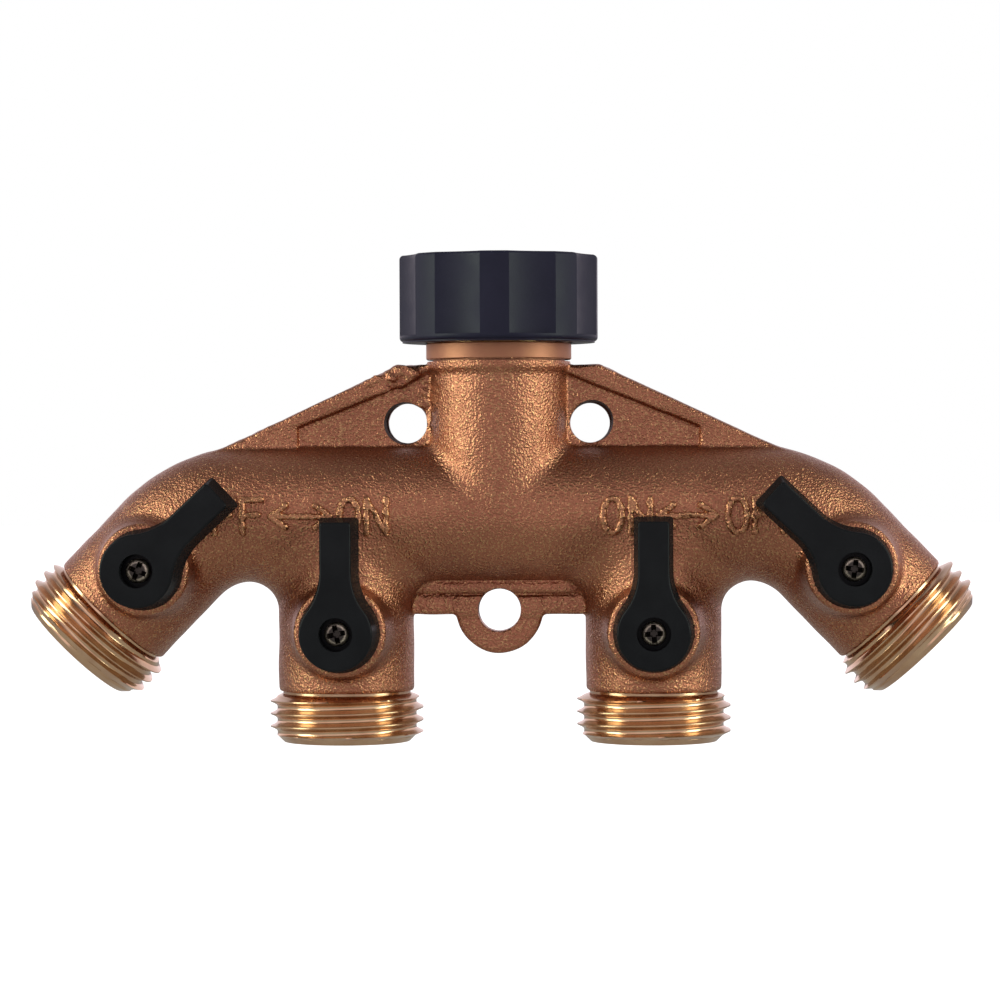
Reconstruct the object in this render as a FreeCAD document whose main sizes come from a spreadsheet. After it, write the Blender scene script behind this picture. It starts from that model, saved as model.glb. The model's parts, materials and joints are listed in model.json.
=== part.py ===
import FreeCAD
import Part
import math
import os
import re

import Sketcher

# Four-way garden hose splitter.
#
# A cast manifold hangs from a tap by its swivel inlet and feeds four threaded outlets. Each outlet has
# its own quarter-turn ball valve, worked by a lever on the front.
#
# Row frame: origin at the centre of the inlet's mouth, +Z up along the inlet, +X to the right as seen
# from the front, and the levers on the -Y side. Lengths are millimetres and angles are degrees.
#
# Each valve has a frame of its own: origin at the ball's centre, +Z upstream along its outlet, and -Y
# to the front. A size whose name ends in _front is a distance from that centre towards the front, and
# one that ends in _out is a distance from it down the outlet.

SIZES = {
    # how far a cutting tool runs past a face, and how far one casting solid runs into the next
    "overrun": 1,
    # places of the main axes
    "gallery_drop": 45.3,
    "outlet_offset": 27,
    "corner_offset": 52.05,
    "side_angle": 44,
    "inner_valve_drop": 20.1,
    "outer_valve_drop": 12.8,
    # the casting's outside
    "gallery_radius": 11.9,
    "elbow_radius": 19.5,
    "barrel_radius": 11.9,
    "shoulder_out": 10.9,
    "neck_radius": 12,
    "collar_radius": 12.75,
    "collar_height": 2.9,
    "collar_gap": 0.3,
    "boss_radius": 7.9,
    "boss_foot_radius": 9.4,
    "boss_foot_front": 6,
    "boss_front": 15,
    # its webs and mounting holes
    "web_thickness": 4,
    "rib_thickness": 6,
    "web_top": 26,
    "web_shelf": 17.7,
    "web_tip_x": 51.5,
    "web_tip_z": 10.2,
    "panel_top": 25.3,
    "panel_end_x": 35.2,
    "panel_end_z": 15.2,
    "top_hole_x": 16,
    "top_hole_z": 15.9,
    "top_hole_radius": 3.45,
    "plate_drop": 17.6,
    "ledge_drop": 14.2,
    "ledge_half_width": 13.8,
    "ledge_bevel": 2.8,
    "lug_drop": 16.85,
    "lug_radius": 7.6,
    "lug_ring_radius": 5.6,
    "lug_hole_radius": 3.7,
    # its passages
    "gallery_bore": 9.3,
    "gallery_bore_end": 50,
    "inlet_bore": 8,
    "port_radius": 5.2,
    "port_run": 4.5,
    "chamber_radius": 8.25,
    "chamber_depth": 8,
    "socket_radius": 9.95,
    "socket_out": 4.6,
    # ball and seats
    "ball_radius": 7.6,
    "ball_bore": 4.75,
    "slot_width": 2.6,
    "slot_front": 5.4,
    "seat_radius": 8.2,
    "seat_bore": 5,
    "seat_out": 4.7,
    "seat_gap": 0.05,
    # outlet nipple, with a garden hose thread of 11.5 turns to the inch
    "tail_radius": 9.9,
    "nipple_port": 6,
    "nipple_bore": 9.4,
    "nipple_step": 2,
    "relief_radius": 11.6,
    "relief_width": 0.4,
    "thread_pitch": 2.209,
    "thread_crest": 0.3,
    "thread_flank": 0.84,
    "male_major": 13.49,
    "male_minor": 12.04,
    "male_length": 8.9,
    "male_first": 1.5,
    "female_minor": 12.45,
    "female_major": 13.65,
    "edge_bevel": 0.45,
    "end_bevel": 0.9,
    # rubber rings
    "ring_wire": 0.55,
    "ring_groove": 1.2,
    "nipple_ring_out": 9,
    # stem
    "stem_radius": 3.5,
    "stem_bore": 3.55,
    "flange_radius": 4.4,
    "flange_pocket": 4.5,
    "tang_front": 5.6,
    "tang_thickness": 2.5,
    "tang_width": 8,
    "flange_front": 7.8,
    "thrust_front": 9.25,
    "thrust_thickness": 0.4,
    "pocket_front": 9.7,
    "first_ring_front": 11.2,
    "second_ring_front": 13.2,
    "drive_front": 15.1,
    "drive_width": 4.2,
    "stem_end_front": 18.5,
    "screw_end_front": 11.6,
    # lever
    "lever_front": 15.3,
    "lever_height": 8,
    "lever_radius": 7,
    "lever_lean": 2.8,
    "lever_reach": 19.8,
    "handle_half_width": 3.4,
    "handle_blend": 10,
    "lever_draft": 5.4,
    "lever_edge": 0.4,
    "tip_corner": 0.6,
    "drive_slack": 0.1,
    "hub_floor_front": 18.6,
    "head_seat_front": 19.6,
    "head_recess_radius": 2.9,
    # quarter-turn stop, cast on the boss and moulded into the lever
    "stop_inner": 4.6,
    "stop_outer": 5.8,
    "stop_height": 1.2,
    "stop_span": 24,
    "stop_slack": 0.2,
    "stop_slack_angle": 1,
    "quarter_turn": 90,
    # lever screw
    "head_radius": 2.1,
    "head_height": 1.9,
    "head_crown": 0.6,
    "shank_radius": 1.45,
    "shank_hole": 1.5,
    "screw_clearance": 1.7,
    "cross_width": 0.75,
    "cross_span": 3,
    "cross_depth": 1.2,
    "screw_gap": 0.2,
    # swivel inlet
    "nut_height": 15.1,
    "nut_corner": 16,
    "nut_lip": 2.2,
    "nut_chamber": 12.9,
    "nut_lip_hole": 10.1,
    "nut_thread_length": 8.1,
    "inlet_flange_top": 11.1,
    "inlet_flange_radius": 11.9,
    "inlet_flange_thickness": 1.6,
    "inlet_tail_end": 27,
    "tail_gap": 0.2,
    "inlet_ring_drop": 20.6,
    "washer_thickness": 2.8,
    "washer_radius": 12.5,
    "washer_bore": 8.3,
    "grip_radius": 17.4,
    "grip_rim": 1,
    "grip_edge": 0.7,
    "scallop_radius": 17.8,
    "scallop_distance": 34.15,
}
SIDES = 8
MALE_TURNS = 3
FEMALE_TURNS = 3
SEATED = 0.01

doc = FreeCAD.newDocument("hose_splitter")
sheet = doc.addObject("Spreadsheet::Sheet", "Sizes")
parts = []


def fill_sheet():
    for row, (alias, number) in enumerate(SIZES.items(), start=1):
        sheet.set(f"A{row}", alias)
        sheet.set(f"B{row}", str(number))
        sheet.setAlias(f"B{row}", alias)
    doc.recompute()


def formula(text):
    """A size formula, with each alias in it written as the sheet's cell."""
    return re.sub(r"[a-z_]+", lambda m: f"Sizes.{m[0]}" if m[0] in SIZES else m[0], str(text))


def bind(item, **properties):
    """Binds properties to size formulas. Two underscores stand for a dot, as in Placement__Base__z."""
    for name, text in properties.items():
        item.setExpression(name.replace("__", "."), formula(text))
    return item


def number(text):
    """What a size formula comes to."""
    return float(sheet.evalExpression(formula(text)))


def keep(item, label):
    """Makes item a sub-part, which is exported under its label."""
    item.Label = label
    parts.append(item)
    return item


# ---- Part primitives and booleans ----

TURNS = {
    "Z": FreeCAD.Rotation(),
    "X": FreeCAD.Rotation(FreeCAD.Vector(0, 1, 0), 90),
    "FRONT": FreeCAD.Rotation(FreeCAD.Vector(1, 0, 0), 90),
}


def place(item, x=0, y=0, z=0, turn=None):
    if turn is not None:
        item.Placement.Rotation = turn
    return bind(item, Placement__Base__x=x, Placement__Base__y=y, Placement__Base__z=z)


def cylinder(name, radius, height, x=0, y=0, z=0, along="Z", sector=360, start=0):
    """A cylinder from its base point along Z, X or to the front. A sector starts at the start angle."""
    item = doc.addObject("Part::Cylinder", name)
    bind(item, Radius=radius, Height=height, Angle=sector)
    spin = FreeCAD.Rotation(FreeCAD.Vector(0, 0, 1), start)
    return place(item, x, y, z, TURNS[along].multiply(spin))


def cone(name, foot, tip, height, y):
    """A cone or taper from its foot towards the front."""
    item = doc.addObject("Part::Cone", name)
    bind(item, Radius1=foot, Radius2=tip, Height=height)
    return place(item, y=y, turn=TURNS["FRONT"])


def box(name, length, width, height, x, y, z):
    item = doc.addObject("Part::Box", name)
    bind(item, Length=length, Width=width, Height=height)
    return place(item, x, y, z)


def fuse(name, items):
    item = doc.addObject("Part::MultiFuse", name)
    item.Shapes = items
    return item


def cut(name, base, tool):
    item = doc.addObject("Part::Cut", name)
    item.Base = base
    item.Tool = tool
    return item


# ---- PartDesign bodies ----


def sketch_on(body, name, role, offset=0):
    """A sketch on one of the body's own origin planes, moved along that plane's normal."""
    sketch = body.newObject("Sketcher::SketchObject", name)
    plane = next(f for f in body.Origin.OriginFeatures if f.Role == role)
    sketch.AttachmentSupport = [(plane, "")]
    sketch.MapMode = "FlatFace"
    bind(sketch, AttachmentOffset__Base__z=offset)
    return sketch


def pin_point(sketch, line, end, x, y):
    """Holds one end of a line at (x, y), two size formulas."""
    for kind, axis, text in (("DistanceX", -2, x), ("DistanceY", -1, y)):
        if str(text) == "0":
            sketch.addConstraint(Sketcher.Constraint("PointOnObject", line, end, axis))
        else:
            fixed = Sketcher.Constraint(kind, -1, 1, line, end, number(text))
            index = sketch.addConstraint(fixed)
            sketch.setExpression(f"Constraints[{index}]", formula(text))


def outline(sketch, points):
    """A closed polygon through points, each a pair of size formulas."""
    corners = [FreeCAD.Vector(number(x), number(y), 0) for x, y in points]
    for i, corner in enumerate(corners):
        sketch.addGeometry(Part.LineSegment(corner, corners[(i + 1) % len(corners)]), False)
    for i in range(len(points)):
        sketch.addConstraint(Sketcher.Constraint("Coincident", i, 2, (i + 1) % len(points), 1))
    for i, (x, y) in enumerate(points):
        pin_point(sketch, i, 1, x, y)
    return sketch


def circle(sketch, radius, x=0, y=0):
    centre = FreeCAD.Vector(number(x), number(y), 0)
    sketch.addGeometry(Part.Circle(centre, FreeCAD.Vector(0, 0, 1), number(radius)), False)
    pin_point(sketch, 0, 3, x, y)
    index = sketch.addConstraint(Sketcher.Constraint("Radius", 0, number(radius)))
    sketch.setExpression(f"Constraints[{index}]", formula(radius))
    return sketch


def turned(name, points, role="XZ_Plane"):
    """A body of revolution about the sketch's vertical axis: Z on XZ_Plane, and Y on XY_Plane."""
    body = doc.addObject("PartDesign::Body", name)
    sketch = outline(sketch_on(body, name + "_profile", role), points)
    revolution = body.newObject("PartDesign::Revolution", name + "_turn")
    revolution.Profile = sketch
    revolution.ReferenceAxis = (sketch, ["V_Axis"])
    revolution.Angle = 360
    sketch.Visibility = False
    return body


def pad(body, sketch, length, both_ways=False):
    feature = body.newObject("PartDesign::Pad", sketch.Name + "_pad")
    feature.Profile = sketch
    if both_ways:
        feature.SideType = "Symmetric"
    return bind(feature, Length=length)


def pocket(body, sketch, length):
    feature = body.newObject("PartDesign::Pocket", sketch.Name + "_pocket")
    feature.Profile = sketch
    return bind(feature, Length=length)


def plate(name, points, thickness):
    """A flat plate with its middle in the XZ plane."""
    body = doc.addObject("PartDesign::Body", name)
    sketch = outline(sketch_on(body, name + "_outline", "XZ_Plane"), points)
    pad(body, sketch, thickness, both_ways=True)
    return body


# ---- where the four valves are ----

VALVES = [
    {"tag": "1", "x": "-corner_offset - outer_valve_drop * sin(side_angle)", "side": -1, "outer": True},
    {"tag": "2", "x": "-outlet_offset", "side": -1, "outer": False},
    {"tag": "3", "x": "outlet_offset", "side": 1, "outer": False},
    {"tag": "4", "x": "corner_offset + outer_valve_drop * sin(side_angle)", "side": 1, "outer": True},
]
STOP_START = {-1: -57, 1: -147}


def in_valve(item, valve, lean=0):
    """Moves a piece made in the valve's frame to that valve's place in the row.

    A lean turns the piece further about the stem, away from upright, on the two outer valves.
    """
    drop = "outer_valve_drop * cos(side_angle)" if valve["outer"] else "inner_valve_drop"
    tilt = -valve["side"] * (number("side_angle") + lean) if valve["outer"] else 0
    turn = FreeCAD.Rotation(FreeCAD.Vector(0, 1, 0), tilt)
    return place(item, valve["x"], 0, f"-gallery_drop - {drop}", turn)


def on_stem(item, valve):
    """Places a piece that turns with the stem."""
    return in_valve(item, valve, number("lever_lean"))


# ---- manifold casting ----


def elbow(name, side):
    """The bend from the gallery to an outer outlet, on the left (-1) or the right (1)."""
    item = doc.addObject("Part::Torus", name)
    bend = number("90 - side_angle")
    start = 90 if side < 0 else 90 - bend
    bind(item, Radius1="elbow_radius", Radius2="gallery_radius")
    item.Angle3 = bend
    spin = FreeCAD.Rotation(FreeCAD.Vector(0, 0, 1), start)
    reach = "(corner_offset - elbow_radius * tan((90 - side_angle) / 2))"
    turn = TURNS["FRONT"].multiply(spin)
    return place(item, f"{side} * {reach}", 0, "-gallery_drop - elbow_radius", turn)


def gallery():
    straight = "(corner_offset - elbow_radius * tan((90 - side_angle) / 2))"
    return [
        cylinder("gallery_tube", "gallery_radius", f"2 * {straight}",
                 x=f"-{straight}", z="-gallery_drop", along="X"),
        elbow("left_elbow", -1),
        elbow("right_elbow", 1),
    ]


def neck():
    top = "(nut_height + collar_gap)"
    collar_base = f"-({top} + collar_height)"
    return [
        cylinder("neck_tube", "neck_radius", f"gallery_drop - {top}", z="-gallery_drop"),
        cylinder("neck_collar", "collar_radius", "collar_height", z=collar_base),
    ]


def stop_sector(name, valve, inner, outer, base, height, start, span):
    """A piece of a flat ring round the stem, as seen from the front."""
    whole = cylinder(name + "_disc", outer, height, y=f"-({base})", along="FRONT", sector=span, start=start)
    hole = cylinder(name + "_hole", inner, height, y=f"-({base})", along="FRONT")
    return cut(name + valve["tag"], whole, hole)


def outlet_casting(valve):
    """The barrel that holds one valve, with the boss round its stem and the stop on that boss."""
    tag = valve["tag"]
    upstream = "outer_valve_drop - elbow_radius * tan((90 - side_angle) / 2)"
    if not valve["outer"]:
        upstream = "inner_valve_drop"
    start = STOP_START[valve["side"]]
    if valve["outer"]:
        start += valve["side"] * number("lever_lean")
    pieces = [
        cylinder("barrel_" + tag, "barrel_radius", f"shoulder_out + {upstream}", z="-shoulder_out"),
        cone("boss_" + tag, "boss_foot_radius", "boss_radius", "boss_front - boss_foot_front",
             "-boss_foot_front"),
        stop_sector("stop_", valve, "stop_inner", "stop_outer",
                    "boss_front - overrun", "stop_height + overrun", start, "stop_span"),
    ]
    return in_valve(fuse("outlet_casting_" + tag, pieces), valve)


def outlet_passage(valve):
    """The room inside one barrel: port, ball chamber, nipple socket, stem bore and flange pocket."""
    tag = valve["tag"]
    reach = "outer_valve_drop + port_run" if valve["outer"] else "inner_valve_drop"
    pieces = [
        cylinder("port_" + tag, "port_radius", f"{reach} - chamber_depth", z="chamber_depth"),
        cylinder("chamber_" + tag, "chamber_radius", "chamber_depth + socket_out", z="-socket_out"),
        cylinder("socket_" + tag, "socket_radius", "shoulder_out - socket_out + overrun",
                 z="-shoulder_out - overrun"),
        cylinder("stem_hole_" + tag, "stem_bore", "boss_front + overrun", along="FRONT"),
        cylinder("flange_pocket_" + tag, "flange_pocket", "pocket_front", along="FRONT"),
    ]
    return in_valve(fuse("outlet_passage_" + tag, pieces), valve)


def webs():
    """The plates that stiffen the casting and carry its three mounting holes."""
    foot, root = "web_tip_z - 2 * overrun", "neck_radius - 2 * overrun"
    rib = [("panel_end_x", foot), ("web_tip_x", foot), ("web_tip_x", "web_tip_z"),
           ("web_shelf", "web_top"), (root, "web_top"), (root, "panel_top"),
           ("panel_end_x", "panel_end_z")]
    left_rib = [(f"-({x})", z) for x, z in rib]
    upper = [("-web_tip_x", "0"), ("-web_tip_x", "web_tip_z"), ("-web_shelf", "web_top"),
             ("web_shelf", "web_top"), ("web_tip_x", "web_tip_z"), ("web_tip_x", "0")]
    half = "(outlet_offset - barrel_radius + overrun)"
    lower = [(f"-{half}", "0"), (half, "0"), (half, "-plate_drop"), (f"-{half}", "-plate_drop")]
    ledge = [("-ledge_half_width", "-ledge_drop"), ("ledge_half_width", "-ledge_drop"),
             ("ledge_half_width - ledge_bevel", "-gallery_radius + overrun"),
             ("-ledge_half_width + ledge_bevel", "-gallery_radius + overrun")]
    plates = [
        plate("upper_web", upper, "web_thickness"),
        plate("right_rib", rib, "rib_thickness"),
        plate("left_rib", left_rib, "rib_thickness"),
        plate("lower_plate", lower, "web_thickness"),
        plate("ledge", ledge, "rib_thickness"),
    ]
    for item in plates:
        place(item, z="-gallery_drop")
    rounds = [
        cylinder("lug_disc", "lug_radius", "web_thickness", y="web_thickness / 2",
                 z="-gallery_drop - lug_drop", along="FRONT"),
        cylinder("lug_ring", "lug_ring_radius", "rib_thickness", y="rib_thickness / 2",
                 z="-gallery_drop - lug_drop", along="FRONT"),
    ]
    return plates + rounds


def mounting_holes():
    through = "4 * rib_thickness"
    start = "2 * rib_thickness"
    upper = [
        cylinder(name, "top_hole_radius", through, x=x, y=start, z="top_hole_z - gallery_drop", along="FRONT")
        for name, x in (("left_hole", "-top_hole_x"), ("right_hole", "top_hole_x"))
    ]
    lower = cylinder("lug_hole", "lug_hole_radius", through, y=start,
                     z="-gallery_drop - lug_drop", along="FRONT")
    return upper + [lower]


def manifold():
    outside = fuse("casting_outside", gallery() + neck() + webs() + [outlet_casting(v) for v in VALVES])
    top = "(nut_height + collar_gap)"
    shared = [
        cylinder("gallery_passage", "gallery_bore", "2 * gallery_bore_end",
                 x="-gallery_bore_end", z="-gallery_drop", along="X"),
        cylinder("inlet_passage", "inlet_bore", f"gallery_drop - {top}", z="-gallery_drop"),
        cylinder("inlet_socket", "socket_radius", f"inlet_tail_end + tail_gap - {top} + overrun",
                 z="-inlet_tail_end - tail_gap"),
    ]
    room = fuse("passages", shared + mounting_holes() + [outlet_passage(v) for v in VALVES])
    keep(cut("casting", outside, room), "manifold_body")


# ---- valve pieces ----


def male_thread():
    """The ridges of the hose thread, which stop short of the plain end."""
    points = []
    for turn in range(MALE_TURNS):
        middle = f"(shoulder_out + male_first + {turn} * thread_pitch)"
        half = "thread_crest / 2"
        points += [("male_minor", f"-({middle} - {half} - thread_flank)"), ("male_major", f"-({middle} - {half})"),
                   ("male_major", f"-({middle} + {half})"), ("male_minor", f"-({middle} + {half} + thread_flank)")]
    return points


def nipple(valve):
    end = "(shoulder_out + male_length)"
    groove_in, groove_out = "-(nipple_ring_out - ring_groove / 2)", "-(nipple_ring_out + ring_groove / 2)"
    floor = "tail_radius - 2 * ring_wire"
    points = [
        ("seat_radius", "-seat_out"), ("tail_radius - edge_bevel", "-seat_out"),
        ("tail_radius", "-seat_out - edge_bevel"), ("tail_radius", groove_in), (floor, groove_in),
        (floor, groove_out), ("tail_radius", groove_out), ("tail_radius", "-shoulder_out"),
        ("relief_radius", "-shoulder_out"), ("relief_radius", "-shoulder_out - relief_width"),
    ]
    points += male_thread()
    points += [
        ("male_minor", f"-{end} + end_bevel"), ("male_minor - end_bevel", f"-{end}"),
        ("nipple_bore + edge_bevel", f"-{end}"),
        ("nipple_bore", f"-{end} + edge_bevel"), ("nipple_bore", "-shoulder_out - nipple_step"),
        ("nipple_port", "-shoulder_out"), ("nipple_port", "-chamber_depth"),
        ("seat_radius", "-chamber_depth"),
    ]
    body = turned("nipple_" + valve["tag"], points)
    keep(in_valve(body, valve), f"outlet_{valve['tag']}_nipple")


def ring(name, major, wire, **where):
    """A rubber ring about Z, or about the stem's axis when along is FRONT."""
    turn = TURNS[where.pop("along", "Z")]
    item = doc.addObject("Part::Torus", name)
    bind(item, Radius1=major, Radius2=wire)
    return place(item, where.get("x", 0), where.get("y", 0), where.get("z", 0), turn)


def grouped(name, items):
    group = doc.addObject("Part::Compound", name)
    group.Links = items
    return group


def nipple_seal(valve):
    tag = valve["tag"]
    item = ring("nipple_seal_" + tag, "tail_radius - ring_wire", f"ring_wire - {SEATED}", z="-nipple_ring_out")
    keep(in_valve(grouped("nipple_seal_group_" + tag, [item]), valve), f"outlet_{tag}_nipple_seal")


def seat(valve, end):
    """A PTFE ring with a hollow that the ball turns in, upstream (1) or downstream (-1) of it."""
    tag = valve["tag"]
    name = {1: "inlet_seat", -1: "outlet_seat"}[end]
    near, far = f"{end} * seat_out", f"{end} * chamber_depth"
    points = [("seat_bore", near), ("seat_radius", near), ("seat_radius", far), ("seat_bore", far)]
    blank = turned(f"{name}_blank_{tag}", points)
    ball = doc.addObject("Part::Sphere", f"{name}_hollow_{tag}")
    bind(ball, Radius="ball_radius + seat_gap")
    keep(in_valve(cut(f"{name}_{tag}", blank, ball), valve), f"outlet_{tag}_{name}")


def ball(valve):
    tag = valve["tag"]
    sphere = doc.addObject("Part::Sphere", "ball_blank_" + tag)
    bind(sphere, Radius="ball_radius")
    bore = cylinder("ball_bore_" + tag, "ball_bore", "2 * (ball_radius + overrun)", z="-ball_radius - overrun")
    slot = box("ball_slot_" + tag, "2 * (ball_radius + overrun)", "ball_radius + overrun - slot_front",
               "slot_width", "-ball_radius - overrun", "-ball_radius - overrun", "-slot_width / 2")
    room = fuse("ball_room_" + tag, [bore, slot])
    keep(on_stem(cut("ball_" + tag, sphere, room), valve), f"outlet_{tag}_ball")


def stem(valve):
    """The brass stem: tang, flange, two ring grooves and a square end with the screw's hole in it."""
    tag = valve["tag"]
    floor = "stem_radius - 2 * ring_wire"
    points = [("0", "-flange_front"), ("flange_radius", "-flange_front"),
              ("flange_radius", "-thrust_front"), ("stem_radius", "-thrust_front")]
    for middle in ("first_ring_front", "second_ring_front"):
        start, end = f"-({middle} - ring_groove / 2)", f"-({middle} + ring_groove / 2)"
        points += [("stem_radius", start), (floor, start), (floor, end), ("stem_radius", end)]
    points += [("stem_radius", "-drive_front"), ("shank_hole", "-drive_front"),
               ("shank_hole", "-screw_end_front"), ("0", "-screw_end_front")]
    shaft = turned("stem_shaft_" + tag, points, "XY_Plane")
    tang = box("stem_tang_" + tag, "tang_width", "flange_front - tang_front", "tang_thickness",
               "-tang_width / 2", "-flange_front", "-tang_thickness / 2")
    block = box("stem_square_" + tag, "drive_width", "stem_end_front - drive_front", "drive_width",
                "-drive_width / 2", "-stem_end_front", "-drive_width / 2")
    hole = cylinder("stem_screw_hole_" + tag, "shank_hole", "stem_end_front - drive_front + overrun",
                    y="-drive_front", along="FRONT")
    # the tang is as wide as the flange it grows from, and keeps inside that flange's circle
    limit = cylinder("stem_tang_limit_" + tag, "flange_radius", "flange_front", along="FRONT")
    kept_tang = doc.addObject("Part::Common", "stem_tang_round_" + tag)
    kept_tang.Base = tang
    kept_tang.Tool = limit
    drive = cut("stem_drive_" + tag, block, hole)
    keep(on_stem(fuse("stem_" + tag, [shaft, kept_tang, drive]), valve), f"valve_{tag}_stem")


def stem_rings(valve):
    tag = valve["tag"]
    rings = [
        ring(f"stem_ring_{tag}_{place_name}", "stem_radius - ring_wire", f"ring_wire - {SEATED}",
             y=f"-{front}", along="FRONT")
        for place_name, front in (("inner", "first_ring_front"), ("outer", "second_ring_front"))
    ]
    keep(on_stem(grouped("stem_rings_" + tag, rings), valve), f"valve_{tag}_stem_seals")


def thrust_washer(valve):
    far = "-(thrust_front + thrust_thickness)"
    points = [("stem_radius", "-thrust_front"), ("flange_radius", "-thrust_front"),
              ("flange_radius", far), ("stem_radius", far)]
    body = turned("thrust_washer_" + valve["tag"], points, "XY_Plane")
    keep(on_stem(body, valve), f"valve_{valve['tag']}_thrust_washer")


def lever_outline(sketch):
    """A round hub that runs through two hollow curves into a straight handle, tip towards +Z."""
    hub, half = number("lever_radius"), number("handle_half_width")
    blend, reach = number("handle_blend"), number("lever_reach")
    side, rise = half + blend, math.sqrt((hub + blend) ** 2 - (half + blend) ** 2)
    angle = math.atan2(rise, side)
    up, at = FreeCAD.Vector(0, 0, 1), FreeCAD.Vector
    hub_circle = Part.Circle(at(0, 0, 0), up, hub)
    right_circle = Part.Circle(at(side, rise, 0), up, blend)
    left_circle = Part.Circle(at(-side, rise, 0), up, blend)
    pieces = [
        Part.ArcOfCircle(hub_circle, math.pi - angle, 2 * math.pi + angle),
        Part.ArcOfCircle(right_circle, math.pi, math.pi + angle),
        Part.LineSegment(at(half, rise, 0), at(half, reach, 0)),
        Part.LineSegment(at(half, reach, 0), at(-half, reach, 0)),
        Part.LineSegment(at(-half, reach, 0), at(-half, rise, 0)),
        Part.ArcOfCircle(left_circle, 2 * math.pi - angle, 2 * math.pi),
    ]
    for piece in pieces:
        sketch.addGeometry(piece, False)
    for rule in [
        ("Coincident", 0, 3, -1, 1), ("Tangent", 0, 2, 1, 2), ("Tangent", 1, 1, 2, 1),
        ("Coincident", 2, 2, 3, 1), ("Coincident", 3, 2, 4, 1), ("Tangent", 4, 2, 5, 2),
        ("Tangent", 5, 1, 0, 1), ("Vertical", 2), ("Vertical", 4), ("Horizontal", 3), ("Equal", 1, 5),
    ]:
        sketch.addConstraint(Sketcher.Constraint(*rule))
    for rule, text in [
        (("Radius", 0), "lever_radius"), (("Radius", 1), "handle_blend"),
        (("DistanceX", -1, 1, 2, 2), "handle_half_width"), (("DistanceX", 3, 2, -1, 1), "handle_half_width"),
        (("DistanceY", -1, 1, 2, 2), "lever_reach"),
    ]:
        index = sketch.addConstraint(Sketcher.Constraint(*rule, number(text)))
        sketch.setExpression(f"Constraints[{index}]", formula(text))
    return sketch


def edges_where(shape, test):
    return [f"Edge{i}" for i, edge in enumerate(shape.Edges, start=1) if test(edge)]


def lever(valve):
    """The moulded lever, with a square socket, the screw's recess and the groove for the stop."""
    tag = valve["tag"]
    body = doc.addObject("PartDesign::Body", "lever_blank_" + tag)
    shape = lever_outline(sketch_on(body, f"lever_{tag}_outline", "XZ_Plane", "lever_front"))
    block = pad(body, shape, "lever_height")
    bind(block, TaperAngle="-lever_draft")
    doc.recompute()
    tip = number("lever_reach") - number("lever_height")
    corners = body.newObject("PartDesign::Fillet", f"lever_{tag}_tip")
    corners.Base = (block, edges_where(block.Shape, lambda e: e.BoundBox.ZMin > tip and e.BoundBox.YLength > 2))
    bind(corners, Radius="tip_corner")
    doc.recompute()
    face = -number("lever_front + lever_height")
    rim = body.newObject("PartDesign::Fillet", f"lever_{tag}_rim")
    rim.Base = (corners, edges_where(corners.Shape, lambda e: abs(e.BoundBox.YMax - face) < 1e-4))
    bind(rim, Radius="lever_edge")
    recess = circle(sketch_on(body, f"lever_{tag}_recess", "XZ_Plane", "lever_front + lever_height"),
                    "head_recess_radius")
    pocket(body, recess, "lever_front + lever_height - head_seat_front")
    hole = circle(sketch_on(body, f"lever_{tag}_hole", "XZ_Plane", "head_seat_front"), "screw_clearance")
    pocket(body, hole, "head_seat_front - hub_floor_front")
    half = "(drive_width / 2 + drive_slack)"
    square = [(f"-{half}", f"-{half}"), (half, f"-{half}"), (half, half), (f"-{half}", half)]
    socket = outline(sketch_on(body, f"lever_{tag}_socket", "XZ_Plane", "hub_floor_front"), square)
    pocket(body, socket, "hub_floor_front - lever_front")
    start = STOP_START[valve["side"]] - number("stop_slack_angle")
    if valve["side"] < 0:
        start -= number("quarter_turn")
    groove = stop_sector("stop_groove_", valve, "stop_inner - stop_slack", "stop_outer + stop_slack",
                         "lever_front - overrun", "boss_front + stop_height + stop_slack - lever_front + overrun",
                         start, "stop_span + quarter_turn + 2 * stop_slack_angle")
    keep(on_stem(cut("lever_" + tag, body, groove), valve), f"valve_{tag}_lever")


def lever_screw(valve):
    tag = valve["tag"]
    top = "(head_seat_front + head_height)"
    points = [
        ("0", "-screw_end_front - screw_gap"), ("shank_radius", "-screw_end_front - screw_gap"),
        ("shank_radius", "-head_seat_front"), ("head_radius", "-head_seat_front"),
        ("head_radius", f"-{top} + head_crown"), ("head_radius - head_crown", f"-{top}"), ("0", f"-{top}"),
    ]
    blank = turned("screw_blank_" + tag, points, "XY_Plane")
    arms = [
        box(f"screw_{name}_{tag}", length, "cross_depth + overrun", height, f"-({length}) / 2", f"-{top} - overrun",
            f"-({height}) / 2")
        for name, length, height in (("bar", "cross_span", "cross_width"), ("post", "cross_width", "cross_span"))
    ]
    cross = fuse("screw_cross_" + tag, arms)
    keep(on_stem(cut("screw_" + tag, blank, cross), valve), f"valve_{tag}_lever_screw")


# ---- swivel inlet ----


def inlet_tailpiece():
    """The flanged tube, screwed into the neck, that the swivel nut turns on."""
    foot = "-(inlet_flange_top + inlet_flange_thickness)"
    groove_top = "-(inlet_ring_drop - ring_groove / 2)"
    groove_foot = "-(inlet_ring_drop + ring_groove / 2)"
    floor = "tail_radius - 2 * ring_wire"
    points = [
        ("inlet_bore", "-inlet_flange_top"), ("inlet_flange_radius", "-inlet_flange_top"),
        ("inlet_flange_radius", foot), ("tail_radius", foot), ("tail_radius", groove_top),
        (floor, groove_top), (floor, groove_foot), ("tail_radius", groove_foot),
        ("tail_radius", "-inlet_tail_end"), ("inlet_bore", "-inlet_tail_end"),
    ]
    keep(turned("inlet_tail", points), "inlet_tailpiece")
    seal = ring("inlet_seal_ring", "tail_radius - ring_wire", f"ring_wire - {SEATED}", z="-inlet_ring_drop")
    keep(grouped("inlet_seal", [seal]), "inlet_tailpiece_seal")


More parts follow.
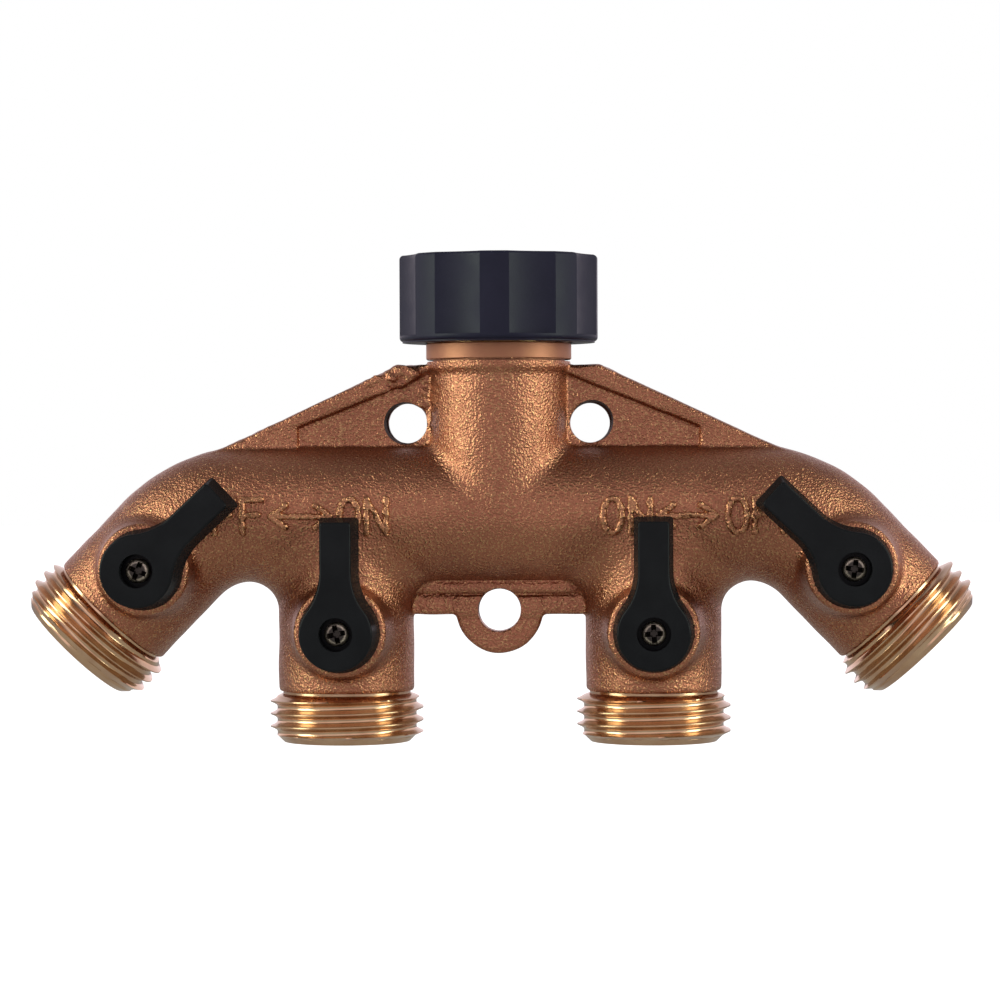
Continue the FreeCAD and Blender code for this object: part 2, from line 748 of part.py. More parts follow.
def inlet_washer():
    top = "-(inlet_flange_top - washer_thickness)"
    points = [("washer_bore", "-inlet_flange_top"), ("washer_radius", "-inlet_flange_top"),
              ("washer_radius", top), ("washer_bore", top)]
    keep(turned("washer", points), "inlet_washer")


def female_thread():
    """The crests of the inlet's thread, from the mouth down."""
    points = []
    for turn in range(FEMALE_TURNS):
        start = f"edge_bevel + {turn} * thread_pitch"
        points += [("female_minor", f"-({start})"), ("female_minor", f"-({start} + thread_crest)")]
        root = f"{start} + thread_crest + thread_flank"
        next_rise = f"{start} + thread_pitch - thread_flank"
        points += [("female_major", f"-({root})"), ("female_major", f"-({next_rise})")]
    last = f"edge_bevel + {FEMALE_TURNS} * thread_pitch"
    points += [("female_minor", f"-({last})"), ("female_minor", "-nut_thread_length"),
               ("nut_chamber", "-nut_thread_length")]
    return points


def swivel_nut():
    """The brass nut: eight flats outside, hose thread inside, and a lip that hangs on the tailpiece."""
    blank = doc.addObject("Part::Prism", "nut_blank")
    blank.Polygon = SIDES
    bind(blank, Circumradius="nut_corner", Height="nut_height")
    place(blank, z="-nut_height")
    lip = "-(nut_height - nut_lip)"
    points = [("0", "overrun"), ("female_minor + edge_bevel + overrun", "overrun"), ("female_minor + edge_bevel", "0")]
    points += female_thread()
    points += [("nut_chamber", lip), ("nut_lip_hole", lip), ("nut_lip_hole", "-nut_height - overrun"),
               ("0", "-nut_height - overrun")]
    keep(cut("nut", blank, turned("nut_room", points)), "swivel_nut")


def swivel_grip():
    """The moulded sleeve on the nut, with a shallow finger hollow over each of its flats."""
    body = doc.addObject("PartDesign::Body", "swivel_sleeve")
    disc = circle(sketch_on(body, "grip_disc", "XY_Plane", "-nut_height"), "grip_radius")
    pad(body, disc, "nut_height")
    hollow_sketch = sketch_on(body, "grip_hollow", "XY_Plane", "overrun")
    angle = f"{180 / SIDES}"
    circle(hollow_sketch, "scallop_radius", f"scallop_distance * cos({angle})",
           f"scallop_distance * sin({angle})")
    hollow = pocket(body, hollow_sketch, "nut_height - grip_rim + overrun")
    pattern = body.newObject("PartDesign::PolarPattern", "grip_hollows")
    pattern.Originals = [hollow]
    axis = next(f for f in body.Origin.OriginFeatures if f.Role == "Z_Axis")
    pattern.Axis = (axis, [""])
    pattern.Angle = 360
    pattern.Occurrences = SIDES
    body.Tip = pattern
    doc.recompute()
    rim = body.newObject("PartDesign::Fillet", "grip_rims")
    ends = (0, -number("nut_height"))
    rim.Base = (pattern, edges_where(
        pattern.Shape, lambda e: e.BoundBox.ZLength < 1e-4 and min(abs(e.BoundBox.ZMin - z) for z in ends) < 1e-4))
    bind(rim, Radius="grip_edge")
    room = doc.addObject("Part::Prism", "grip_room")
    room.Polygon = SIDES
    bind(room, Circumradius="nut_corner", Height="nut_height + 2 * overrun")
    place(room, z="-nut_height - overrun")
    keep(cut("grip", body, room), "swivel_grip")


def check_and_export():
    doc.recompute()
    failed = [o.Name for o in doc.Objects if "Invalid" in o.State or "Error" in o.State]
    if failed:
        raise RuntimeError(f"these objects failed to build: {failed}")
    os.makedirs("parts", exist_ok=True)
    for part in parts:
        shape = part.Shape
        if shape.isNull() or not shape.isValid() or shape.Volume <= 0 or not shape.Solids:
            raise RuntimeError(f"{part.Label} has no valid solid")
        shape.exportStep(os.path.join("parts", part.Label + ".step"))
        print(f"{part.Label}: {len(shape.Solids)} solid(s), {shape.Volume:.1f} mm3")


fill_sheet()
manifold()
for one in VALVES:
    nipple(one)
    nipple_seal(one)
    seat(one, 1)
    seat(one, -1)
    ball(one)
    stem(one)
    stem_rings(one)
    thrust_washer(one)
    lever(one)
    lever_screw(one)
inlet_tailpiece()
inlet_washer()
swivel_nut()
swivel_grip()
check_and_export()
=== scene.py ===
import json
import math

import bmesh
import bpy
import numpy as np
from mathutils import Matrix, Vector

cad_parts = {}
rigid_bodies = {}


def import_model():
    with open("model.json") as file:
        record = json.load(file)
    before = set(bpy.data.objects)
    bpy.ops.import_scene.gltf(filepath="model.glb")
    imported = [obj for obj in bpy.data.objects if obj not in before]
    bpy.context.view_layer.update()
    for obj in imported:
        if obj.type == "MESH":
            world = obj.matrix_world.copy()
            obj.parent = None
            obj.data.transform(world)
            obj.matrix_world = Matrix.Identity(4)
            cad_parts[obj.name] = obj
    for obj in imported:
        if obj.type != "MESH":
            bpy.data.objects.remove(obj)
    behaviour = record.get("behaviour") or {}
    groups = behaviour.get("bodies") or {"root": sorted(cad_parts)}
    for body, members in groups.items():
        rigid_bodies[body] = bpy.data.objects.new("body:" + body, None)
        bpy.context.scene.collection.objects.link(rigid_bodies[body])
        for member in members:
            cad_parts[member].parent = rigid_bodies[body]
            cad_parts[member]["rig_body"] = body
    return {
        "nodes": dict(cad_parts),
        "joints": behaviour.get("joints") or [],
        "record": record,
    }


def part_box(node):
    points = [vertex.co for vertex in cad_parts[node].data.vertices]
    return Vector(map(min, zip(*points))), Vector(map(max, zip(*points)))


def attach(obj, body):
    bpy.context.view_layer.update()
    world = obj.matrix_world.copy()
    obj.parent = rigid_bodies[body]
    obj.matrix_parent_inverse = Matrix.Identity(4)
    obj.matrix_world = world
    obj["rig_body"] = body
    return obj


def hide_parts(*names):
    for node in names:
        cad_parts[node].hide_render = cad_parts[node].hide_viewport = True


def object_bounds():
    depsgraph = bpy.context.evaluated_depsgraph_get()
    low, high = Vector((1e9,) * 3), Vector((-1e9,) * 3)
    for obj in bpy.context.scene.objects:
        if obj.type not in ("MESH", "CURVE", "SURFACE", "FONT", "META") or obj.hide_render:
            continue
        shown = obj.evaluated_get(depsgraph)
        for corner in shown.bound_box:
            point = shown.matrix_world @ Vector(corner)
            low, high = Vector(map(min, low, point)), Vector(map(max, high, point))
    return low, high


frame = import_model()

import openvdb
from mathutils import Matrix, Vector

# Four-way garden hose splitter: its looks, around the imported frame.
# Blender's own unit is the metre. Shapes below are worked out in millimetres and scaled by MM.
# The front is towards -Y, and the inlet's mouth is the highest point.

cad_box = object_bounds()
MM = 0.001
SEED = 7
# a distance greater than any on the object
FAR = 1e6

mounts = {m["name"]: m for m in frame["record"]["mounts"]}
joints = {j["name"]: j for j in frame["joints"]}

# ---- sizes of the casting, in millimetres ----

GALLERY_RADIUS = 11.9
NECK_RADIUS = 12.0
BARREL_RADIUS = 11.9
# an elbow's bend, in degrees, and the radius of its middle line
ELBOW_TURN = 46
ELBOW_RADIUS = 19.5
# from the middle to where the gallery's and an outer barrel's middle lines meet, and from there to the ball
CORNER_OFFSET = 52.05
CORNER_TO_BALL = 12.8
# from a ball to its barrel's shoulder, and from the gallery up to the upper holes
SHOULDER_OUT = 10.9
HOLE_RISE = 15.9
# a stem boss: how far its front is from the middle plane, how fast it widens, and the cosine of that slant
BOSS_FRONT = 15.0
BOSS_RADIUS = 7.9
BOSS_FLARE = 0.17
BOSS_SLANT = 0.986
# the collar that the swivel nut turns on. Heights are over the inlet's mouth, which is at 0.
COLLAR_RADIUS = 12.75
COLLAR_HEIGHT = 2.9
COLLAR_TOP = -15.4
COLLAR_BEVEL = 0.2
COLLAR_GROOVE = {"radius": 11.6, "height": 0.32}
WEB_THICKNESS = 4.0
RIB_THICKNESS = 6.0
PLATE_EDGE = 0.3
TOP_HOLE_RADIUS = 3.45
LUG_HOLE_RADIUS = 3.7
LUG_RADIUS = 7.6
# the grid's step, the faces left after thinning, and the grid's room round the casting
VOXEL = 0.4
CAST_FACES = 150000
GRID_ROOM = 1.5

hole_mount = mounts["upper_wall_holes"]
lug_mount = mounts["lower_wall_hole"]
GALLERY_Z = hole_mount["pos_m"][2] / MM - HOLE_RISE
LUG_Z = lug_mount["pos_m"][2] / MM
TOP_HOLE_X = hole_mount["dims"]["spacing_x_mm"] / 2


def valve_place(tag):
    """One valve's frame: origin at its ball, +Z upstream, -Y to the front."""
    at = joints[f"valve_{tag}_turn"]["pos_m"]
    down = Vector(mounts[f"outlet_{tag}_thread"]["axis"])
    up = -down
    side = Vector((0, 1, 0)).cross(up)
    turn = Matrix((side, Vector((0, 1, 0)), up)).transposed()
    return Matrix.Translation((at[0], 0, at[2])) @ turn.to_4x4()


VALVES = {tag: valve_place(tag) for tag in (1, 2, 3, 4)}
FRONT = Matrix.Rotation(math.radians(90), 4, "X")
OUTER = (1, 4)


def pack_mm(matrix):
    """A row-frame matrix whose move is in millimetres."""
    return Matrix.Translation(matrix.translation / MM) @ matrix.to_3x3().to_4x4()


# ---- solids as distance fields on a grid ----


class Grid:
    """Points in millimetres over the casting's box, and what to do with distances at them."""

    def __init__(self, low, high, step):
        self.low, self.step = np.array(low), step
        counts = [int(math.ceil((b - a) / step)) + 1 for a, b in zip(low, high)]
        axes = [np.arange(n, dtype=np.float32) * step + a for n, a in zip(counts, low)]
        self.x, self.y, self.z = np.meshgrid(*axes, indexing="ij", sparse=True)

    def downstream(self, place):
        """Distance down a valve's outlet from its ball."""
        down = -Vector(place.col[2][:3])
        at = place.translation
        return (self.x - at.x) * down.x + (self.z - at.z) * down.z

    def rod(self, start, end, radius, y=0):
        """A round rod with round ends between two points (x, z) of the middle plane, or of another plane."""
        (ax, az), (bx, bz) = start, end
        ux, uz = bx - ax, bz - az
        t = np.clip(((self.x - ax) * ux + (self.z - az) * uz) / (ux * ux + uz * uz), 0, 1)
        off = np.hypot(self.x - ax - t * ux, self.z - az - t * uz)
        return np.hypot(off, self.y - y) - radius

    def bend(self, centre, ring, radius, first, last):
        """Part of a torus in the middle plane, from one angle to another."""
        dx, dz = self.x - centre[0], self.z - centre[1]
        angle = np.clip(np.arctan2(dz, dx), math.radians(first), math.radians(last))
        off = np.hypot(dx - ring * np.cos(angle), dz - ring * np.sin(angle))
        return np.hypot(off, self.y) - radius

    def slab(self, flat, thickness, edge):
        """A front view's distances made into a flat piece in the middle plane, with rounded edges."""
        flat = flat + edge
        deep = np.abs(self.y) - thickness / 2 + edge
        inside = np.minimum(np.maximum(flat, deep), 0)
        return inside + np.hypot(np.maximum(flat, 0), np.maximum(deep, 0)) - edge

    def plate(self, outline, thickness, edge=PLATE_EDGE):
        return self.slab(polygon_distance(self.x, self.z, outline), thickness, edge)

    def off_axis(self, x, z):
        """Distance off a line that runs front to back."""
        return np.hypot(self.x - x, self.z - z)

    def disc(self, x, z, radius, thickness):
        return self.slab(self.off_axis(x, z) - radius, thickness, PLATE_EDGE)

    def mesh(self, distance, name):
        volume = openvdb.FloatGrid(2 * self.step)
        volume.copyFromArray(np.ascontiguousarray(distance, dtype=np.float32))
        points, _, quads = volume.convertToPolygons(isovalue=0.0, adaptivity=0.0)
        points = (points * self.step + self.low) * MM
        mesh = bpy.data.meshes.new(name)
        mesh.from_pydata(points.tolist(), [], quads[:, ::-1].tolist())
        return link(mesh, name)


def polygon_distance(x, z, outline):
    """Signed distance to a closed polygon of (x, z) points, negative inside it."""
    nearest = np.full(np.broadcast(x, z).shape, FAR, dtype=np.float32)
    inside = np.zeros(nearest.shape, dtype=bool)
    for (ax, az), (bx, bz) in zip(outline, outline[1:] + outline[:1]):
        ux, uz = bx - ax, bz - az
        t = np.clip(((x - ax) * ux + (z - az) * uz) / (ux * ux + uz * uz), 0, 1)
        nearest = np.minimum(nearest, np.hypot(x - ax - t * ux, z - az - t * uz))
        if az != bz:
            crosses = (az > z) != (bz > z)
            inside ^= crosses & (x < ax + (z - az) * ux / uz)
    return np.where(inside, -nearest, nearest)


def round_union(a, b, radius):
    """Two solids joined with a hollow fillet of that radius, which may vary over the grid."""
    corner = np.hypot(np.maximum(radius - a, 0), np.maximum(radius - b, 0))
    return np.maximum(radius, np.minimum(a, b)) - corner


def round_cut(a, b, radius):
    """What two solids share, with its edge rounded."""
    corner = np.hypot(np.maximum(radius + a, 0), np.maximum(radius + b, 0))
    return np.minimum(-radius, np.maximum(a, b)) + corner


# ---- mesh helpers ----


def link(mesh, name):
    piece = bpy.data.objects.new(name, mesh)
    bpy.context.scene.collection.objects.link(piece)
    return piece


def revolve(name, profile, place=None, segments=96, material=None):
    """A closed profile of (radius, height) points in millimetres turned about Z, then moved to place."""
    form = bmesh.new()
    rings = []
    for radius, height in profile:
        if radius == 0:
            rings.append([form.verts.new((0, 0, height))])
            continue
        rings.append([
            form.verts.new((radius * math.cos(a), radius * math.sin(a), height))
            for a in (2 * math.pi * i / segments for i in range(segments))
        ])
    for ring, after in zip(rings, rings[1:] + rings[:1]):
        for i in range(segments):
            j = (i + 1) % segments
            corners = [ring[i % len(ring)], ring[j % len(ring)], after[j % len(after)], after[i % len(after)]]
            # a ring on the axis is a single point, which leaves a triangle
            corners = list(dict.fromkeys(corners))
            if len(corners) > 2:
                form.faces.new(corners)
    bmesh.ops.recalc_face_normals(form, faces=form.faces)
    bmesh.ops.transform(form, matrix=Matrix.Scale(MM, 4) @ (place or Matrix()), verts=form.verts)
    mesh = bpy.data.meshes.new(name)
    form.to_mesh(mesh)
    form.free()
    piece = link(mesh, name)
    if material:
        mesh.materials.append(material)
    return piece


def baked(piece):
    """Applies every modifier of a piece."""
    seen = piece.evaluated_get(bpy.context.evaluated_depsgraph_get())
    mesh = bpy.data.meshes.new_from_object(seen)
    piece.modifiers.clear()
    piece.data = mesh


def boolean(piece, tool, operation):
    """Joins or cuts a piece with a tool, whose faces bring their own material."""
    step = piece.modifiers.new(operation.lower(), "BOOLEAN")
    step.operation = operation
    step.solver = "MANIFOLD"
    step.material_mode = "TRANSFER"
    step.object = tool
    baked(piece)
    bpy.data.objects.remove(tool)


def finish_surface(piece, sharp_angle):
    """Smooth shading, apart from the edges whose faces meet at more than that many degrees."""
    mesh = piece.data
    mesh.polygons.foreach_set("use_smooth", [True] * len(mesh.polygons))
    mesh.set_sharp_from_angle(angle=math.radians(sharp_angle))


# the angle between faces, in degrees, from which an edge is shaded sharp
CAST_SHARP = 38
THREAD_SHARP = 28
SCREW_SHARP = 32

# ---- node material helpers ----

# a turned piece on a slant keeps the places of its points in its own upright frame under this name
OWN_FRAME = "own_frame"


def move_with_frame(mesh, place):
    """Moves a mesh to its place, and keeps the places its points had before."""
    own = mesh.attributes.new(OWN_FRAME, "FLOAT_VECTOR", "POINT")
    own.data.foreach_set("vector", [c for v in mesh.vertices for c in v.co])
    mesh.transform(place)


class Paint:
    """A material under construction, with short calls for its nodes."""

    def __init__(self, name, own_frame=False, **inputs):
        self.material = bpy.data.materials.new(name)
        self.material.use_nodes = True
        self.tree = self.material.node_tree
        self.shader = self.tree.nodes["Principled BSDF"]
        self.where = self.tree.nodes.new("ShaderNodeTexCoord").outputs["Object"]
        if own_frame:
            self.where = self.node("Attribute", attribute_name=OWN_FRAME).outputs["Vector"]
        for key, value in inputs.items():
            self.shader.inputs[key.replace("_", " ")].default_value = value

    def node(self, kind, **settings):
        item = self.tree.nodes.new("ShaderNode" + kind)
        for key, value in settings.items():
            setattr(item, key, value)
        return item

    def join(self, source, socket):
        self.tree.links.new(source, socket)

    def stretched(self, scale):
        mapping = self.node("Mapping")
        mapping.inputs["Scale"].default_value = scale
        self.join(self.where, mapping.inputs["Vector"])
        return mapping.outputs["Vector"]

    def noise(self, size_mm, detail=2.0, rough=0.5, stretch=None):
        item = self.node("TexNoise")
        item.inputs["Scale"].default_value = 1 / (size_mm * MM)
        item.inputs["Detail"].default_value = detail
        item.inputs["Roughness"].default_value = rough
        self.join(self.stretched(stretch) if stretch else self.where, item.inputs["Vector"])
        return item.outputs["Fac"]

    def off_own_axis(self):
        """Distance off the piece's own upright axis, in metres."""
        flat = self.stretched((1, 1, 0))
        item = self.node("VectorMath", operation="LENGTH")
        self.join(flat, item.inputs[0])
        return item.outputs["Value"]

    def ramp(self, value, *stops):
        """A colour ramp with stops (position, colour). A number stands for a grey."""
        item = self.node("ValToRGB")
        band = item.color_ramp
        while len(band.elements) < len(stops):
            band.elements.new(0.5)
        for element, (position, colour) in zip(band.elements, stops):
            element.position = position
            element.color = (*colour, 1) if isinstance(colour, tuple) else (colour, colour, colour, 1)
        self.join(value, item.inputs["Fac"])
        return item.outputs["Color"]

    def scaled(self, value, low, high, from_low=0.0, from_high=1.0):
        item = self.node("MapRange")
        ends = {"From Min": from_low, "From Max": from_high, "To Min": low, "To Max": high}
        for key, number in ends.items():
            item.inputs[key].default_value = number
        self.join(value, item.inputs["Value"])
        return item.outputs["Result"]

    def maths(self, operation, a, b):
        item = self.node("Math", operation=operation)
        for socket, value in zip(item.inputs, (a, b)):
            if isinstance(value, (int, float)):
                socket.default_value = value
            else:
                self.join(value, socket)
        return item.outputs["Value"]

    def mixed(self, factor, a, b, kind="MIX"):
        item = self.node("Mix", data_type="RGBA", blend_type=kind)
        if isinstance(factor, (int, float)):
            item.inputs[0].default_value = factor
        else:
            self.join(factor, item.inputs[0])
        for socket, value in ((item.inputs[6], a), (item.inputs[7], b)):
            if isinstance(value, tuple):
                socket.default_value = (*value, 1)
            else:
                self.join(value, socket)
        return item.outputs[2]

    def bump(self, height, depth_mm, strength=1.0, under=None):
        item = self.node("Bump")
        item.inputs["Distance"].default_value = depth_mm * MM
        item.inputs["Strength"].default_value = strength
        self.join(height, item.inputs["Height"])
        if under is not None:
            self.join(under, item.inputs["Normal"])
        return item.outputs["Normal"]

    def use(self, **sockets):
        for key, source in sockets.items():
            self.join(source, self.shader.inputs[key.replace("_", " ")])
        return self.material


def cast_brass_material(name, dark, light, flash):
    """Shot-blasted casting: one brown metal whose fine grain flashes where a light catches it."""
    paint = Paint(name, Metallic=0.96)
    grain = paint.noise(size_mm=0.37, detail=1.0)
    pits = paint.noise(size_mm=1.7, rough=0.6)
    slow = paint.noise(size_mm=12)
    tone = paint.ramp(slow, (0.35, dark), (0.65, light))
    colour = paint.mixed(paint.ramp(grain, (0.5, 0.0), (0.75, flash)), tone, GRAIN_GOLD)
    rough = paint.scaled(grain, low=0.38, high=0.25, from_low=0.35, from_high=0.65)
    coarse = paint.bump(pits, depth_mm=0.14, strength=0.5)
    fine = paint.bump(grain, depth_mm=0.21, under=coarse)
    return paint.use(Base_Color=colour, Roughness=rough, Normal=fine)


def machined_material(name, colour, paler_mix, rough, own_frame=False, ring_mm=0.4):
    """Turned metal: faint rings round the axis over a nearly smooth surface."""
    paint = Paint(name, own_frame, Metallic=1.0)
    slow = paint.noise(size_mm=3.5)
    shade = paint.mixed(paint.ramp(slow, (0.35, 0.0), (0.7, 1.0)), colour, paler_mix)
    rings = paint.noise(size_mm=ring_mm, detail=1.0, stretch=(0.03, 0.03, 1.0))
    gloss = paint.scaled(slow, low=rough - 0.03, high=rough + 0.05, from_low=0.3, from_high=0.7)
    turned = paint.bump(rings, depth_mm=0.03, strength=0.35)
    return paint.use(Base_Color=shade, Roughness=gloss, Normal=turned)


def screw_material():
    """Blackened steel with a painted highlight: the rim of the head is coloured bright, in patches, to stand
    for the glints there.
    """
    paint = Paint("blackened_screw", True, Metallic=1.0, Roughness=0.36)
    starts, full = (radius * MM for radius in SCREW_GLINT_RIM)
    rim = paint.scaled(paint.off_own_axis(), low=0.0, high=1.0, from_low=starts, from_high=full)
    patchy = paint.scaled(paint.noise(size_mm=1.3), low=0.45, high=1.0, from_low=0.35, from_high=0.6)
    # the painted highlight: bright colour round the rim of the head, broken up in patches
    paler_mix = paint.maths("MULTIPLY", rim, patchy)
    shade = paint.mixed(paler_mix, (0.05, 0.043, 0.038), (0.9, 0.78, 0.6))
    fine = paint.bump(paint.noise(size_mm=0.3), depth_mm=0.02, strength=0.4)
    return paint.use(Base_Color=shade, Normal=fine)


def plastic_material(name, colour, bright, rough, grain_mm, depth_mm, **finish):
    """Moulded plastic with a fine grain, slightly paler where it is handled."""
    paint = Paint(name, **finish)
    grain = paint.noise(size_mm=grain_mm, rough=0.6)
    slow = paint.noise(size_mm=6, detail=3.0)
    shade = paint.mixed(paint.ramp(slow, (0.4, 0.0), (0.75, 1.0)), colour, bright)
    gloss = paint.scaled(slow, low=rough - 0.06, high=rough + 0.08, from_low=0.3, from_high=0.7)
    return paint.use(Base_Color=shade, Roughness=gloss, Normal=paint.bump(grain, depth_mm, strength=0.6))


def chrome_material():
    paint = Paint("ball_chrome", Metallic=1.0)
    slow = paint.noise(size_mm=4)
    shade = paint.mixed(slow, (0.74, 0.75, 0.78), (0.82, 0.82, 0.84))
    return paint.use(Base_Color=shade, Roughness=paint.scaled(slow, low=0.06, high=0.14))


# how far from the middle of a screw head its painted highlight, a bright rim, starts and is full
SCREW_GLINT_RIM = (1.25, 1.75)
GRAIN_GOLD = (0.62, 0.40, 0.18)

# each packed material slot's look: two colours that it wanders between, then how rough it is
MATERIALS = {
    "cast_brass": cast_brass_material(
        "cast_brass", (0.305, 0.117, 0.068), (0.365, 0.142, 0.081), flash=0.5),
    "turned_brass": machined_material(
        "turned_brass", (0.66, 0.42, 0.20), (0.74, 0.50, 0.27), rough=0.3),
    "grip_plastic": plastic_material(
        "grip_plastic", (0.009, 0.009, 0.022), (0.013, 0.012, 0.028), rough=0.46, grain_mm=0.5, depth_mm=0.03,
        Specular_IOR_Level=0.17),
    "lever_plastic": plastic_material(
        "lever_plastic", (0.0075, 0.008, 0.009), (0.0105, 0.0112, 0.0125), rough=0.5, grain_mm=0.6,
        depth_mm=0.02, Specular_IOR_Level=0.0, Coat_Weight=0.16, Coat_Roughness=0.16),
    "screw_steel": machined_material(
        "screw_steel", (0.10, 0.085, 0.075), (0.2, 0.17, 0.14), rough=0.36),
    "rubber": plastic_material(
        "rubber", (0.012, 0.012, 0.013), (0.02, 0.02, 0.02), rough=0.7, grain_mm=0.4, depth_mm=0.03,
        Specular_IOR_Level=0.17),
    "ptfe": plastic_material(
        "ptfe", (0.82, 0.82, 0.8), (0.88, 0.88, 0.86), rough=0.5, grain_mm=0.8, depth_mm=0.01,
        Specular_IOR_Level=0.4),
    "ball_chrome": chrome_material(),
}
# the looks of the pieces and cuts that are made here
MACHINED_CAST = machined_material(
    "machined_cast_brass", (0.33, 0.145, 0.088), (0.38, 0.175, 0.10), rough=0.5, ring_mm=0.3)
NIPPLE_BRASS = machined_material(
    "nipple_brass", (0.535, 0.325, 0.195), (0.625, 0.415, 0.26), rough=0.18, own_frame=True)
# painted shade: the walls of the wall holes and of their mouths are near-black metal, standing for the shade
# inside the holes
HOLE_SHADE = machined_material(
    "cast_hole_painted_shade", (0.05, 0.026, 0.02), (0.09, 0.045, 0.032), rough=0.6)
MARK_BRASS = cast_brass_material(
    "cast_brass_marks", (0.37, 0.155, 0.085), (0.45, 0.2, 0.105), flash=0.6)

# ---- marks cast on the front of the gallery ----

LETTER_HEIGHT = 6.0
LETTER_WIDTH = 3.4
# half a stroke's width, how far it stands out of the skin and goes into it, and its rounded edge
STROKE = 0.55
MARK_RAISE = 0.8
MARK_ROOT = 1.2
MARK_EDGE = 0.45
# the marks' middle over the gallery's
MARK_DROP = -0.2
# how ragged the marks are, and the shortest and longest wave of it
MARK_ROUGH = 0.08
MARK_RIPPLES = (0.9, 2.2)
MARK_VOXEL = 0.17
# the front of the gallery, with room for the marks: lowest and highest corner
MARK_BOX = ((-57, -GALLERY_RADIUS - 2, GALLERY_Z - 5), (57, -4.5, GALLERY_Z + 4))


def ellipse(steps=16):
    points = [(0.5 * math.cos(2 * math.pi * i / steps), 0.5 * math.sin(2 * math.pi * i / steps))
              for i in range(steps)]
    return list(zip(points, points[1:] + points[:1]))


# each letter is a list of strokes in a box one unit wide and high, about its middle
LETTERS = {
    "O": ellipse(),
    "F": [((-0.5, -0.5), (-0.5, 0.5)), ((-0.5, 0.5), (0.5, 0.5)), ((-0.5, 0.05), (0.3, 0.05))],
    "N": [((-0.5, -0.5), (-0.5, 0.5)), ((-0.5, 0.5), (0.5, -0.5)), ((0.5, -0.5), (0.5, 0.5))],
}
# the off mark is on the outer side of each pair of valves, and the on mark is on its inner side
LEFT_MARKS = [("O", -52.0), ("F", -47.2), ("F", -42.3), ("O", -25.5), ("N", -20.8)]
RIGHT_MARKS = [("O", 20.0), ("N", 24.8), ("O", 41.5), ("F", 46.1), ("F", 50.9)]
ARROWS = [(-39.1, -28.8), (27.9, 37.8)]
ARROW_HEAD = (2.6, 1.9)


def mark_strokes():
    strokes = []
    for letter, middle in LEFT_MARKS + RIGHT_MARKS:
        for ends in LETTERS[letter]:
            strokes.append([(middle + u * LETTER_WIDTH, v * LETTER_HEIGHT) for u, v in ends])
    for left, right in ARROWS:
        strokes.append([(left, 0), (right, 0)])
        for tip, way in ((left, 1), (right, -1)):
            for up in (1, -1):
                strokes.append([(tip, 0), (tip + way * ARROW_HEAD[0], up * ARROW_HEAD[1])])
    return strokes


def mark_distance(grid):
    """How far each point of the front view is from the middle of the nearest stroke."""
    middle = GALLERY_Z + MARK_DROP
    nearest = np.full(np.broadcast(grid.x, grid.z).shape, FAR, dtype=np.float32)
    for (ax, az), (bx, bz) in mark_strokes():
        ux, uz = bx - ax, bz - az
        dx, dz = grid.x - ax, grid.z - middle - az
        t = np.clip((dx * ux + dz * uz) / (ux * ux + uz * uz), 0, 1)
        nearest = np.minimum(nearest, np.hypot(dx - t * ux, dz - t * uz))
    return nearest


# ---- the casting ----

# hollow fillets where two shapes meet. Those of the neck and the inner barrels are full in the middle plane,
# and fade to the small one over a distance in front of it and behind it.
NECK_FILLET = 1.2
BARREL_FILLET = 4.4
SMALL_FILLET = 0.8
FILLET_FADE = 13.0
BOSS_FILLET = 1.0
WEB_FILLET = 0.5
RIB_FILLET = 0.45
LUG_FILLET = 0.7
# rounded edges
BOSS_EDGE = 0.7
RIB_EDGE = 0.5
LEDGE_EDGE = 0.7
SHOULDER_EDGE = 0.5
HOLE_EDGE = 0.2

# the neck widens under its collar: by how much, from how far below, and over what height
NECK_FLARE = {"out": 0.6, "below": 2.5, "height": 1.1}
# how far under the collar's top the cast neck stops
COLLAR_SEAT = 0.5
# where the neck and an inner barrel start, over the gallery's middle
NECK_START = 5
INNER_BARREL_START = -6

# outlines in the front view: (x, height over the gallery's middle line)
UPPER_WEB = [(-51.5, 0), (-51.5, 10.2), (-17.7, 26), (17.7, 26), (51.5, 10.2), (51.5, 0)]
RIGHT_RIB = [(35.2, 8), (51.5, 8), (51.5, 10.2), (17.7, 26), (10, 26), (10, 25.3), (35.2, 15.2)]
LEFT_RIB = [(-x, z) for x, z in RIGHT_RIB]
LOWER_WEB = [(-16, 0), (16, 0), (16, -17.6), (-16, -17.6)]
LEDGE = [(-14.3, -14), (14.2, -14), (12.4, -11.8), (-12.8, -11.8)]
LEDGE_GROOVE = [(-13.8, -14.1), (13.7, -14.1)]
LEDGE_GROOVE_RADIUS = 0.4

HOLES = [(-TOP_HOLE_X, GALLERY_Z + HOLE_RISE, TOP_HOLE_RADIUS),
         (TOP_HOLE_X, GALLERY_Z + HOLE_RISE, TOP_HOLE_RADIUS),
         (0, LUG_Z, LUG_HOLE_RADIUS)]

# waves over the whole casting, and rougher ones in patches: depths, and shortest and longest wave
WAVES = {"depth": 0.05, "lengths": (5, 11)}
ROUGH_WAVES = {"depth": 0.3, "lengths": (1.5, 2.8)}
# the waves in each field, and the share of their sum that is kept
WAVE_COUNT = 8
WAVE_SHARE = 1 / 3
# rough patches: (strength, x, height over the gallery, half width, half height)
PATCHES = [(1, -18, 24, 6.5, 3.5), (0.7, -12.4, 19, 1.6, 6), (0.35, -42, 14, 9, 4), (0.4, 20, 25, 4, 1.6)]


def from_gallery(outline):
    return [(x, GALLERY_Z + z) for x, z in outline]


